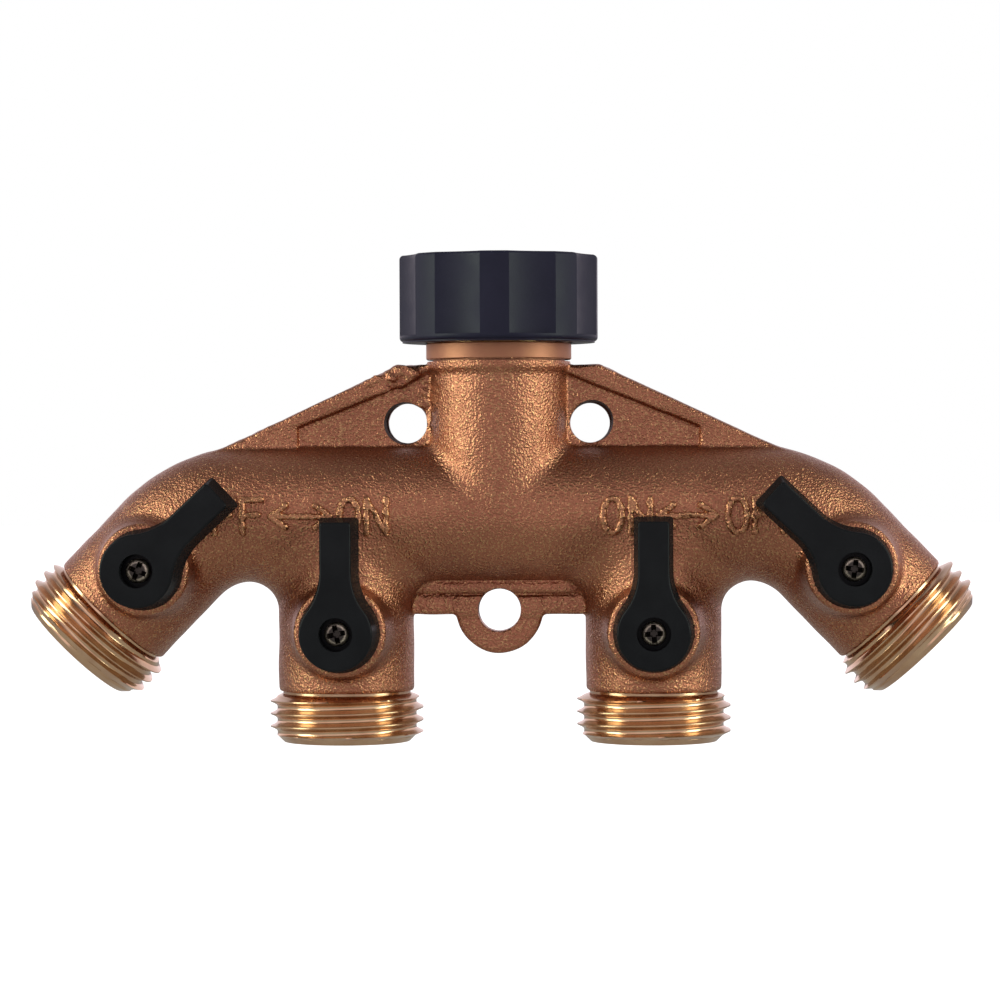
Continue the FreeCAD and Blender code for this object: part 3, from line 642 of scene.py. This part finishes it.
def webs(grid):
    """The plates that stiffen the casting, with their ribs, ledge and lug."""
    upper, lower = (grid.plate(from_gallery(web), WEB_THICKNESS) for web in (UPPER_WEB, LOWER_WEB))
    lug = grid.disc(0, LUG_Z, LUG_RADIUS, WEB_THICKNESS)
    plate = round_union(np.minimum(upper, lower), lug, LUG_FILLET)
    right, left = (grid.plate(from_gallery(rib), RIB_THICKNESS, RIB_EDGE) for rib in (RIGHT_RIB, LEFT_RIB))
    ledge = grid.plate(from_gallery(LEDGE), RIB_THICKNESS, LEDGE_EDGE)
    ribs = np.minimum(np.minimum(right, left), ledge)
    plate = round_union(plate, ribs, RIB_FILLET)
    groove = grid.rod(*from_gallery(LEDGE_GROOVE), LEDGE_GROOVE_RADIUS, -WEB_THICKNESS / 2)
    plate = np.maximum(plate, -groove)
    for x, z, radius in HOLES:
        plate = round_cut(plate, radius - grid.off_axis(x, z), HOLE_EDGE)
    return plate


def body_distance(grid):
    """The cast body as it leaves the mould, without its marks."""
    fade = np.clip(1 - (grid.y / FILLET_FADE) ** 2, 0, 1)
    # how far an elbow's bend reaches along the straight lines on both sides of it
    reach = ELBOW_RADIUS * math.tan(math.radians(ELBOW_TURN / 2))
    straight = CORNER_OFFSET - reach
    tube = grid.rod((-straight, GALLERY_Z), (straight, GALLERY_Z), GALLERY_RADIUS)
    for side, first, last in ((-1, 90, 90 + ELBOW_TURN), (1, 90 - ELBOW_TURN, 90)):
        centre = (side * straight, GALLERY_Z - ELBOW_RADIUS)
        tube = np.minimum(tube, grid.bend(centre, ELBOW_RADIUS, GALLERY_RADIUS, first, last))
    neck = grid.rod((0, GALLERY_Z + NECK_START), (0, 0), NECK_RADIUS)
    over_flare = grid.z - COLLAR_TOP + COLLAR_HEIGHT + NECK_FLARE["below"]
    flare = np.clip(over_flare / NECK_FLARE["height"], 0, 1)
    neck = np.maximum(neck - NECK_FLARE["out"] * flare, grid.z - COLLAR_TOP + COLLAR_SEAT)
    tube = round_union(tube, neck, SMALL_FILLET + NECK_FILLET * fade)
    for tag, place in VALVES.items():
        place = pack_mm(place)
        at, down = place.translation, -Vector(place.col[2][:3])
        start = Vector((at.x, 0, GALLERY_Z + INNER_BARREL_START))
        if tag in OUTER:
            start = at - down * (CORNER_TO_BALL - reach)
        end = at + down * (SHOULDER_OUT + BARREL_RADIUS)
        barrel = grid.rod((start.x, start.z), (end.x, end.z), BARREL_RADIUS)
        barrel = round_cut(barrel, grid.downstream(place) - SHOULDER_OUT, SHOULDER_EDGE)
        if tag in OUTER:
            tube = np.minimum(tube, barrel)
        else:
            tube = round_union(tube, barrel, SMALL_FILLET + BARREL_FILLET * fade)
    body = round_union(tube, webs(grid), WEB_FILLET)
    for place in VALVES.values():
        at = pack_mm(place).translation
        radius = BOSS_RADIUS + (BOSS_FRONT + grid.y) * BOSS_FLARE
        side = (grid.off_axis(at.x, at.z) - radius) * BOSS_SLANT
        boss = round_cut(side, -grid.y - BOSS_FRONT, BOSS_EDGE)
        body = round_union(body, np.maximum(boss, grid.y), BOSS_FILLET)
    return body + uneven(grid)


def ripples(grid, seed, shortest, longest):
    """A smooth random field made of waves between two lengths, mostly between -1 and 1."""
    draw = np.random.default_rng(seed)
    total = 0
    for _ in range(WAVE_COUNT):
        way = draw.normal(size=3)
        way *= 2 * math.pi / (draw.uniform(shortest, longest) * np.linalg.norm(way))
        phase = draw.uniform(0, 2 * math.pi)
        total = total + np.sin(way[0] * grid.x + way[1] * grid.y + way[2] * grid.z + phase)
    return total * WAVE_SHARE


def spot(grid, x, z, wide, high):
    """One at a place of the front view, which fades out over those distances."""
    return np.exp(-((grid.x - x) / wide) ** 2 - ((grid.z - z) / high) ** 2)


def uneven(grid):
    """The slight waviness of a sand casting, and the rough patches beside its neck."""
    patches = sum(much * spot(grid, x, GALLERY_Z + rise, wide, high)
                  for much, x, rise, wide, high in PATCHES)
    waves = WAVES["depth"] * ripples(grid, SEED, *WAVES["lengths"])
    return waves + ROUGH_WAVES["depth"] * patches * ripples(grid, SEED + 1, *ROUGH_WAVES["lengths"])


def stepped(*steps):
    """The profile of a stepped round tool: (radius, from height, to height) from the top down."""
    points = [(0, steps[0][1])]
    for radius, high, low in steps:
        points += [(radius, high), (radius, low)]
    return points + [(0, steps[-1][2])]


# the bores' radii. The tail bore takes a nipple or the tailpiece, and the seat bore a ball and its seats.
GALLERY_BORE = 9.3
INLET_BORE = 8.0
TAIL_BORE = 9.95
SEAT_BORE = 8.25
OUTLET_BORE = 5.2
STEM_FOOT_BORE = 4.5
STEM_BORE = 3.55
# where they end: along the gallery, down the inlet, up an outlet from its ball, and forwards from its ball
GALLERY_BORE_END = 50
INLET_TAIL_END = -27.2
SEAT_BORE_ENDS = (8.0, -4.6)
OUTLET_BORE_TOP = {1: 17.3, 2: 20.1, 3: 20.1, 4: 17.3}
STEM_FOOT_ENDS = (-1.0, 9.7)
HOLE_DEPTH = 8
# how far a tool goes on past the face that it cuts
OVERRUN = 2
# the worn mouths of the upper holes: sides and rises, how far out they are, and their radii over a hole's
WORN_HOLES = [(-1, 0.05), (1, 0.3)]
WORN_OUT = 0.4
WORN_RADII = (-0.2, 0.3)
WORN_PAST = 0.1
BORE_SEGMENTS = 64
STEM_SEGMENTS = 48
COLLAR_SEGMENTS = 128


def passages():
    """One solid of all the room inside the casting, and of its machined holes."""
    tools = []

    def bore(profile, place=None, segments=BORE_SEGMENTS, material=MACHINED_CAST):
        tools.append(revolve("tool", profile, place, segments, material))

    across = Matrix.Translation((0, 0, GALLERY_Z)) @ Matrix.Rotation(math.radians(90), 4, "Y")
    bore(stepped((GALLERY_BORE, GALLERY_BORE_END, -GALLERY_BORE_END)), across)
    bore(stepped((TAIL_BORE, COLLAR_TOP + OVERRUN, INLET_TAIL_END), (INLET_BORE, INLET_TAIL_END, GALLERY_Z)))
    seat, tail = SEAT_BORE_ENDS
    foot, neck = STEM_FOOT_ENDS
    for tag, place in VALVES.items():
        place = pack_mm(place)
        bore(stepped((OUTLET_BORE, OUTLET_BORE_TOP[tag], seat), (SEAT_BORE, seat, tail),
                     (TAIL_BORE, tail, -SHOULDER_OUT - OVERRUN)), place)
        stem = stepped((STEM_FOOT_BORE, foot, neck), (STEM_BORE, neck, BOSS_FRONT + OVERRUN))
        bore(stem, place @ FRONT, STEM_SEGMENTS)
    # the holes' walls, and their mouths below, are painted near black as shade
    for x, z, radius in HOLES:
        hole = Matrix.Translation((x, 0, z)) @ FRONT
        bore(stepped((radius, -HOLE_DEPTH, HOLE_DEPTH)), hole, material=HOLE_SHADE)
    front = WEB_THICKNESS / 2 + WORN_PAST
    back_radius, front_radius = (TOP_HOLE_RADIUS + more for more in WORN_RADII)
    for side, rise in WORN_HOLES:
        at = (side * (TOP_HOLE_X + WORN_OUT), 0, GALLERY_Z + HOLE_RISE + rise)
        mouth = [(0, 0), (back_radius, 0), (front_radius, front), (0, front)]
        bore(mouth, Matrix.Translation(at) @ FRONT, material=HOLE_SHADE)
    high = COLLAR_TOP - COLLAR_HEIGHT
    low = high - COLLAR_GROOVE["height"]
    inner, outer = COLLAR_GROOVE["radius"], COLLAR_RADIUS + OVERRUN
    bore([(inner, low), (outer, low), (outer, high), (inner, high)], segments=COLLAR_SEGMENTS)
    whole = tools.pop(0)
    for tool in tools:
        boolean(whole, tool, "UNION")
    return whole


def collar():
    low, edge = COLLAR_TOP - COLLAR_HEIGHT, COLLAR_RADIUS - COLLAR_BEVEL
    profile = [(0, low), (edge, low), (COLLAR_RADIUS, low + COLLAR_BEVEL),
               (COLLAR_RADIUS, COLLAR_TOP - COLLAR_BEVEL), (edge, COLLAR_TOP), (0, COLLAR_TOP)]
    return revolve("tool", profile, segments=COLLAR_SEGMENTS, material=MACHINED_CAST)


def marks():
    """The raised letters and arrows, a little ragged, as a finer mesh than the body's."""
    grid = Grid(*MARK_BOX, MARK_VOXEL)
    body = body_distance(grid)
    ragged = MARK_ROUGH * ripples(grid, SEED + 2, *MARK_RIPPLES)
    strokes = mark_distance(grid) - STROKE - ragged
    raised = round_cut(strokes, body - MARK_RAISE - ragged, MARK_EDGE)
    piece = grid.mesh(np.maximum(raised, -body - MARK_ROOT), "tool")
    piece.data.materials.append(MARK_BRASS)
    return piece


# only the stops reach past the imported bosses' fronts by this much. Here they're sunk into the bosses.
STOP_RISE = 0.1
STOP_SUNK = 1
STOP_STEPS = 8


def stop(tag):
    """The quarter-turn stop, a short piece of a ring on a boss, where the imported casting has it."""
    at = VALVES[tag].translation
    casting_points = frame["nodes"]["manifold_body"].data.vertices
    tips = [(v.co.x - at.x, v.co.z - at.z, v.co.y) for v in casting_points
            if v.co.y < -(BOSS_FRONT + STOP_RISE) * MM]
    tips = [tip for tip in tips if math.hypot(*tip[:2]) < BOSS_RADIUS * MM]
    middle = math.atan2(sum(z for _, z, _ in tips), sum(x for x, _, _ in tips))
    turns = [math.remainder(math.atan2(z, x) - middle, 2 * math.pi) for x, z, _ in tips]
    reach = [math.hypot(x, z) for x, z, _ in tips]
    inner, outer = min(reach), max(reach)
    front, back = min(y for _, _, y in tips), -(BOSS_FRONT - STOP_SUNK) * MM
    form = bmesh.new()
    rows = []
    for i in range(STOP_STEPS + 1):
        angle = middle + min(turns) + (max(turns) - min(turns)) * i / STOP_STEPS
        rows.append([form.verts.new((at.x + r * math.cos(angle), y, at.z + r * math.sin(angle)))
                     for r, y in ((inner, front), (outer, front), (outer, back), (inner, back))])
    for row, after in zip(rows, rows[1:]):
        for j in range(4):
            k = (j + 1) % 4
            form.faces.new((row[j], row[k], after[k], after[j]))
    form.faces.new(rows[0])
    form.faces.new(reversed(rows[-1]))
    bmesh.ops.recalc_face_normals(form, faces=form.faces)
    mesh = bpy.data.meshes.new("tool")
    form.to_mesh(mesh)
    form.free()
    mesh.materials.append(MATERIALS["cast_brass"])
    return link(mesh, "tool")


def casting():
    """The cast skin with its collar, marks and stops, cut by the bores and the holes."""
    low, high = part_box("manifold_body")
    grid = Grid([v / MM - GRID_ROOM for v in low], [v / MM + GRID_ROOM for v in high], VOXEL)
    piece = grid.mesh(body_distance(grid), "cast_manifold")
    piece.data.materials.append(MATERIALS["cast_brass"])
    thin = piece.modifiers.new("thin", "DECIMATE")
    thin.ratio = min(1.0, CAST_FACES / (2 * len(piece.data.polygons)))
    thin.use_collapse_triangulate = True
    baked(piece)
    for tool in [collar(), marks()] + [stop(tag) for tag in VALVES]:
        boolean(piece, tool, "UNION")
    boolean(piece, passages(), "DIFFERENCE")
    finish_surface(piece, CAST_SHARP)
    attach(piece, "manifold")
    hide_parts("manifold_body")


# ---- outlet nipples with their helical thread ----

# a 3/4 inch garden hose thread: 11.5 threads an inch, with its crests and roots as radii
PITCH = 2.209
MAJOR = 13.47
MINOR = 12.25
CREST = 0.2
FLANK = 0.82
FLANK_STEPS = 5
# down from the shoulder: the thread's ends, each nipple's first crest, and where its crests start to run out
THREAD_START = 0.4
THREAD_END = 8.0
FIRST_CREST = {1: 0.9, 2: 1.81, 3: 1.5, 4: 0.3}
RUN_OUT = {1: 6.3, 2: 7.3, 3: 7.3, 4: 6.3}
# how fast the crests grow and run out, and the smooth end's radius
RUN_IN_SLOPE = 2.6
RUN_OUT_SLOPE = {1: 1.15, 2: 2.4, 3: 2.4, 4: 1.15}
SMOOTH_RADIUS = 12.0
THREAD_TURNS = range(-2, 7)
# the groove at the shoulder, and how far the nipple's end is below it
GROOVE_RADIUS = 11.2
NIPPLE_END = 8.9
# (radius, height): the tail's over the shoulder, and the mouth's over the nipple's end
TAIL = [(8.2, 6.2), (9.45, 6.2), (9.9, 5.75), (9.9, 2.5), (8.8, 2.5), (8.8, 1.3), (9.9, 1.3), (9.9, 0),
        (GROOVE_RADIUS, 0)]
MOUTH = [(11.85, 0.75), (11.1, 0), (9.85, 0), (9.4, 0.45)]
# (radius, height over the shoulder): the mouth's bore narrows to the waterway, which widens again at the tail
WATERWAY = [(9.4, -2), (6, 0), (6, 2.9), (8.2, 2.9)]
NIPPLE_SEGMENTS = 144


def thread_radius(down, tag, turned):
    """The nipple's radius at a distance down from its shoulder, after a share of a turn."""
    from_crest = (down - FIRST_CREST[tag] + PITCH * turned) % PITCH
    from_crest = min(from_crest, PITCH - from_crest)
    flank = min(max((from_crest - CREST / 2) / FLANK, 0), 1)
    radius = MAJOR - (MAJOR - MINOR) * math.sin(math.pi / 2 * flank)
    run_in = GROOVE_RADIUS + max(down - THREAD_START, 0) * RUN_IN_SLOPE
    run_out = MAJOR - max(down - RUN_OUT[tag], 0) * RUN_OUT_SLOPE[tag]
    return min(radius, run_in, max(run_out, SMOOTH_RADIUS))


def thread_rows(first_crest, turned):
    """Distances down the thread at one angle, which follow its crests and flanks."""
    steps = [CREST / 2 + FLANK * k / FLANK_STEPS for k in range(FLANK_STEPS + 1)]
    offsets = [-s for s in reversed(steps)] + steps
    rows = []
    for turn in THREAD_TURNS:
        for offset in offsets:
            down = first_crest + PITCH * (turn - turned) + offset
            rows.append(min(max(down, THREAD_START), THREAD_END))
    return rows


def nipple(tag):
    """An outlet nipple in its valve's frame: tail, hose thread, chamfered end and bore."""
    top = -SHOULDER_OUT
    end = top - NIPPLE_END
    before = [(radius, top + height) for radius, height in TAIL]
    after = [(radius, end + height) for radius, height in MOUTH]
    after += [(radius, top + height) for radius, height in WATERWAY]
    first = FIRST_CREST[tag]
    form = bmesh.new()
    columns = []
    for i in range(NIPPLE_SEGMENTS + 1):
        turned = i / NIPPLE_SEGMENTS
        angle = math.pi + 2 * math.pi * turned
        thread = [(thread_radius(down, tag, turned), top - down) for down in thread_rows(first, turned)]
        columns.append([form.verts.new((r * math.cos(angle), r * math.sin(angle), h))
                        for r, h in before + thread + after])
    for column, following in zip(columns, columns[1:]):
        for j in range(len(column)):
            k = (j + 1) % len(column)
            form.faces.new((column[j], column[k], following[k], following[j]))
    bmesh.ops.remove_doubles(form, verts=form.verts, dist=1e-4)
    bmesh.ops.dissolve_degenerate(form, edges=form.edges, dist=1e-5)
    bmesh.ops.recalc_face_normals(form, faces=form.faces)
    bmesh.ops.scale(form, vec=(MM, MM, MM), verts=form.verts)
    mesh = bpy.data.meshes.new(f"threaded_nipple_{tag}")
    form.to_mesh(mesh)
    form.free()
    move_with_frame(mesh, VALVES[tag])
    mesh.materials.append(NIPPLE_BRASS)
    piece = link(mesh, f"threaded_nipple_{tag}")
    finish_surface(piece, THREAD_SHARP)
    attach(piece, "manifold")
    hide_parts(f"outlet_{tag}_nipple")


# ---- lever screws, and the grip's lip that also stands for the shade under the nut ----

# heights stand off the middle plane
HEAD_RADIUS = 2.1
HEAD_SEAT = 19.6
HEAD_FRONT = 21.5
SCREW_END = 11.8
SHANK_RADIUS = 1.45
# the rounded edge of a head: how far in from its radius, and how far behind its front
HEAD_EDGE = [(0, 0.55), (0.1, 0.3), (0.35, 0.1), (0.7, 0)]
# the recess: how far before the head's front, half the length of its arms, and half their width
RECESS = [(-1.5, 0.6, 0.28), (-1.1, 1.1, 0.32), (0.3, 1.75, 0.46)]
# how far each screw was turned when it came tight, in degrees
CROSS_TURN = {1: 22, 2: 12, 3: 4, 4: 38}
SCREW_SEGMENTS = 64
BLACK_SCREW = screw_material()


def cross_recess():
    """A tapered cross-shaped cutter for the driver, along +Z."""
    form = bmesh.new()
    rows = []
    for before, reach, half in RECESS:
        quarter = [(reach, -half), (reach, half), (half, half)]
        ring = []
        for k in range(4):
            turn = Matrix.Rotation(math.radians(90 * k), 2)
            ring += [form.verts.new((*(turn @ Vector(point)), HEAD_FRONT + before)) for point in quarter]
        rows.append(ring)
    for row, after in zip(rows, rows[1:]):
        for j in range(len(row)):
            k = (j + 1) % len(row)
            form.faces.new((row[j], row[k], after[k], after[j]))
    form.faces.new(reversed(rows[0]))
    form.faces.new(rows[-1])
    bmesh.ops.recalc_face_normals(form, faces=form.faces)
    bmesh.ops.scale(form, vec=(MM, MM, MM), verts=form.verts)
    mesh = bpy.data.meshes.new("tool")
    form.to_mesh(mesh)
    form.free()
    mesh.materials.append(BLACK_SCREW)
    return link(mesh, "tool")


def lever_screw(tag):
    """The cross-head screw that holds a lever on its stem."""
    node = f"valve_{tag}_lever_screw"
    profile = [(0, SCREW_END), (SHANK_RADIUS, SCREW_END), (SHANK_RADIUS, HEAD_SEAT), (HEAD_RADIUS, HEAD_SEAT)]
    profile += [(HEAD_RADIUS - inward, HEAD_FRONT - behind) for inward, behind in HEAD_EDGE]
    profile.append((0, HEAD_FRONT))
    piece = revolve(f"cross_head_screw_{tag}", profile, segments=SCREW_SEGMENTS, material=BLACK_SCREW)
    boolean(piece, cross_recess(), "DIFFERENCE")
    turned = Matrix.Rotation(math.radians(CROSS_TURN[tag]), 4, "Z")
    move_with_frame(piece.data, VALVES[tag] @ FRONT @ turned)
    finish_surface(piece, SCREW_SHARP)
    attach(piece, frame["nodes"][node]["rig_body"])
    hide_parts(node)


# just over the collar, and between the collar's radius and the grip's
LIP_HEIGHTS = (-15.3, -15.05)
LIP_RADII = (13.0, 16.9)


def grip_lip_shade_ring():
    """The moulded lip that turns in under the swivel nut and closes the gap above the collar. Its dark ring
    is partly painted shade, put there for the shadow line under the nut.
    """
    (low, high), (inner, outer) = LIP_HEIGHTS, LIP_RADII
    section = [(inner, low), (outer, low), (outer, high), (inner, high)]
    piece = revolve("grip_lip_shade_ring", section, material=MATERIALS["grip_plastic"])
    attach(piece, frame["nodes"]["swivel_grip"]["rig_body"])


# ---- what the frame already has right ----


def carry_over():
    """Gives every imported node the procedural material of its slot."""
    for part in frame["record"]["subparts"]:
        node = frame["nodes"][part["node"]]
        for slot in node.material_slots:
            slot.material = MATERIALS[part["material_slot"]]


# ---- camera, floor and light ----

# the camera's place in millimetres, its height over the gallery, its angles in degrees, and its focal length
CAMERA_AT = (24.65, -606.6, 10.56)
CAMERA_YAW = -2.316
CAMERA_DIP = 0.77
CAMERA_ROLL = 0.232
CAMERA_LENS = 124.32
SENSOR_WIDTH = 36


def camera():
    """The camera stands in front and a little to the right, turned back towards the middle."""
    yaw, dip, roll = (math.radians(v) for v in (CAMERA_YAW, CAMERA_DIP, CAMERA_ROLL))
    across = Vector((math.cos(yaw), -math.sin(yaw), 0))
    ahead = Vector((math.sin(yaw), math.cos(yaw), 0))
    plumb = Vector((0, 0, 1))
    forward = ahead * math.cos(dip) - plumb * math.sin(dip)
    level_up = ahead * math.sin(dip) + plumb * math.cos(dip)
    right = across * math.cos(roll) - level_up * math.sin(roll)
    up = across * math.sin(roll) + level_up * math.cos(roll)
    data = bpy.data.cameras.new("camera")
    data.sensor_width = SENSOR_WIDTH
    data.lens = CAMERA_LENS
    item = bpy.data.objects.new("camera", data)
    bpy.context.scene.collection.objects.link(item)
    turn = Matrix((right, up, -forward)).transposed().to_4x4()
    x, y, height = CAMERA_AT
    item.matrix_world = Matrix.Translation(Vector((x, y, height + GALLERY_Z)) * MM) @ turn
    bpy.context.scene.camera = item


# in metres: how far the floor is under the object, and its side
FLOOR_DROP = 0.045
FLOOR_SIZE = 8.0
# how much it is brightened for the camera alone, like an overexposed backdrop
FLOOR_LIFT = 0.9


def floor():
    """A pale floor that the camera sees nearly white."""
    mesh = bpy.data.meshes.new("floor")
    half, low = FLOOR_SIZE / 2, cad_box[0][2] - FLOOR_DROP
    corners = [(-half, -half, low), (half, -half, low), (half, half, low), (-half, half, low)]
    mesh.from_pydata(corners, [], [(0, 1, 2, 3)])
    piece = link(mesh, "floor")
    paint = Paint("pale_floor", Roughness=0.9, Emission_Color=(1, 1, 1, 1))
    lift = paint.maths("MULTIPLY", paint.node("LightPath").outputs["Is Camera Ray"], FLOOR_LIFT)
    pale = paint.mixed(paint.noise(size_mm=40), (0.52, 0.52, 0.52), (0.55, 0.55, 0.55))
    mesh.materials.append(paint.use(Base_Color=pale, Emission_Strength=lift))


def softbox(name, azimuth, height, distance, size, power, colour):
    """A rectangular soft light that faces the object, in metres. Azimuth 90 is to the object's right."""
    data = bpy.data.lights.new(name, "AREA")
    data.shape = "RECTANGLE"
    data.size, data.size_y = size
    data.energy = power
    data.color = colour
    item = bpy.data.objects.new(name, data)
    bpy.context.scene.collection.objects.link(item)
    a = math.radians(azimuth)
    target = Vector((0, 0, GALLERY_Z * MM))
    item.location = target + Vector((distance * math.sin(a), -distance * math.cos(a), height))
    item.rotation_euler = (target - item.location).to_track_quat("-Z", "Y").to_euler()


# the walls' colour at the horizon, a third of the way up and overhead
WALL_GLOW = ((0.0, (1, 0.9, 0.98)), (0.35, (0.62, 0.57, 0.62)), (0.85, (0.16, 0.15, 0.16)))
WALL_STRENGTH = 1.27
SIDE_LIGHT = (0.86, 1, 0.82)
TOP_LIGHT = (0.98, 0.96, 1)


def studio():
    """A tall soft light on each side, a faint one overhead, and walls that glow."""
    softbox("left_softbox", -70, height=0.2, distance=0.8, size=(0.36, 0.9), power=6.2, colour=SIDE_LIGHT)
    softbox("right_softbox", 70, height=0.2, distance=0.8, size=(0.30, 0.9), power=4.9, colour=SIDE_LIGHT)
    softbox("top_fill", 180, height=1.5, distance=0.6, size=(1.2, 0.8), power=1.2, colour=TOP_LIGHT)
    world = bpy.data.worlds.new("studio")
    bpy.context.scene.world = world
    world.use_nodes = True
    tree = world.node_tree
    # the walls of the studio glow softly, and its ceiling less
    where = tree.nodes.new("ShaderNodeTexCoord")
    parts = tree.nodes.new("ShaderNodeSeparateXYZ")
    ramp = tree.nodes.new("ShaderNodeValToRGB")
    ramp.color_ramp.elements.new(0.5)
    for element, (position, colour) in zip(ramp.color_ramp.elements, WALL_GLOW):
        element.position = position
        element.color = (*colour, 1)
    tree.links.new(where.outputs["Generated"], parts.inputs["Vector"])
    tree.links.new(parts.outputs["Z"], ramp.inputs["Fac"])
    # the camera sees them as plain white, and the metal reflects their glow
    glow = tree.nodes["Background"]
    glow.inputs["Strength"].default_value = WALL_STRENGTH
    tree.links.new(ramp.outputs["Color"], glow.inputs["Color"])
    seen = tree.nodes.new("ShaderNodeBackground")
    seen.inputs["Color"].default_value = (1, 1, 1, 1)
    seen.inputs["Strength"].default_value = 1.0
    path = tree.nodes.new("ShaderNodeLightPath")
    blend = tree.nodes.new("ShaderNodeMixShader")
    tree.links.new(path.outputs["Is Camera Ray"], blend.inputs["Fac"])
    tree.links.new(glow.outputs["Background"], blend.inputs[1])
    tree.links.new(seen.outputs["Background"], blend.inputs[2])
    tree.links.new(blend.outputs["Shader"], tree.nodes["World Output"].inputs["Surface"])
    bpy.context.scene.view_settings.view_transform = "Standard"


carry_over()
casting()
for number in VALVES:
    nipple(number)
    lever_screw(number)
grip_lip_shade_ring()
camera()
floor()
studio()
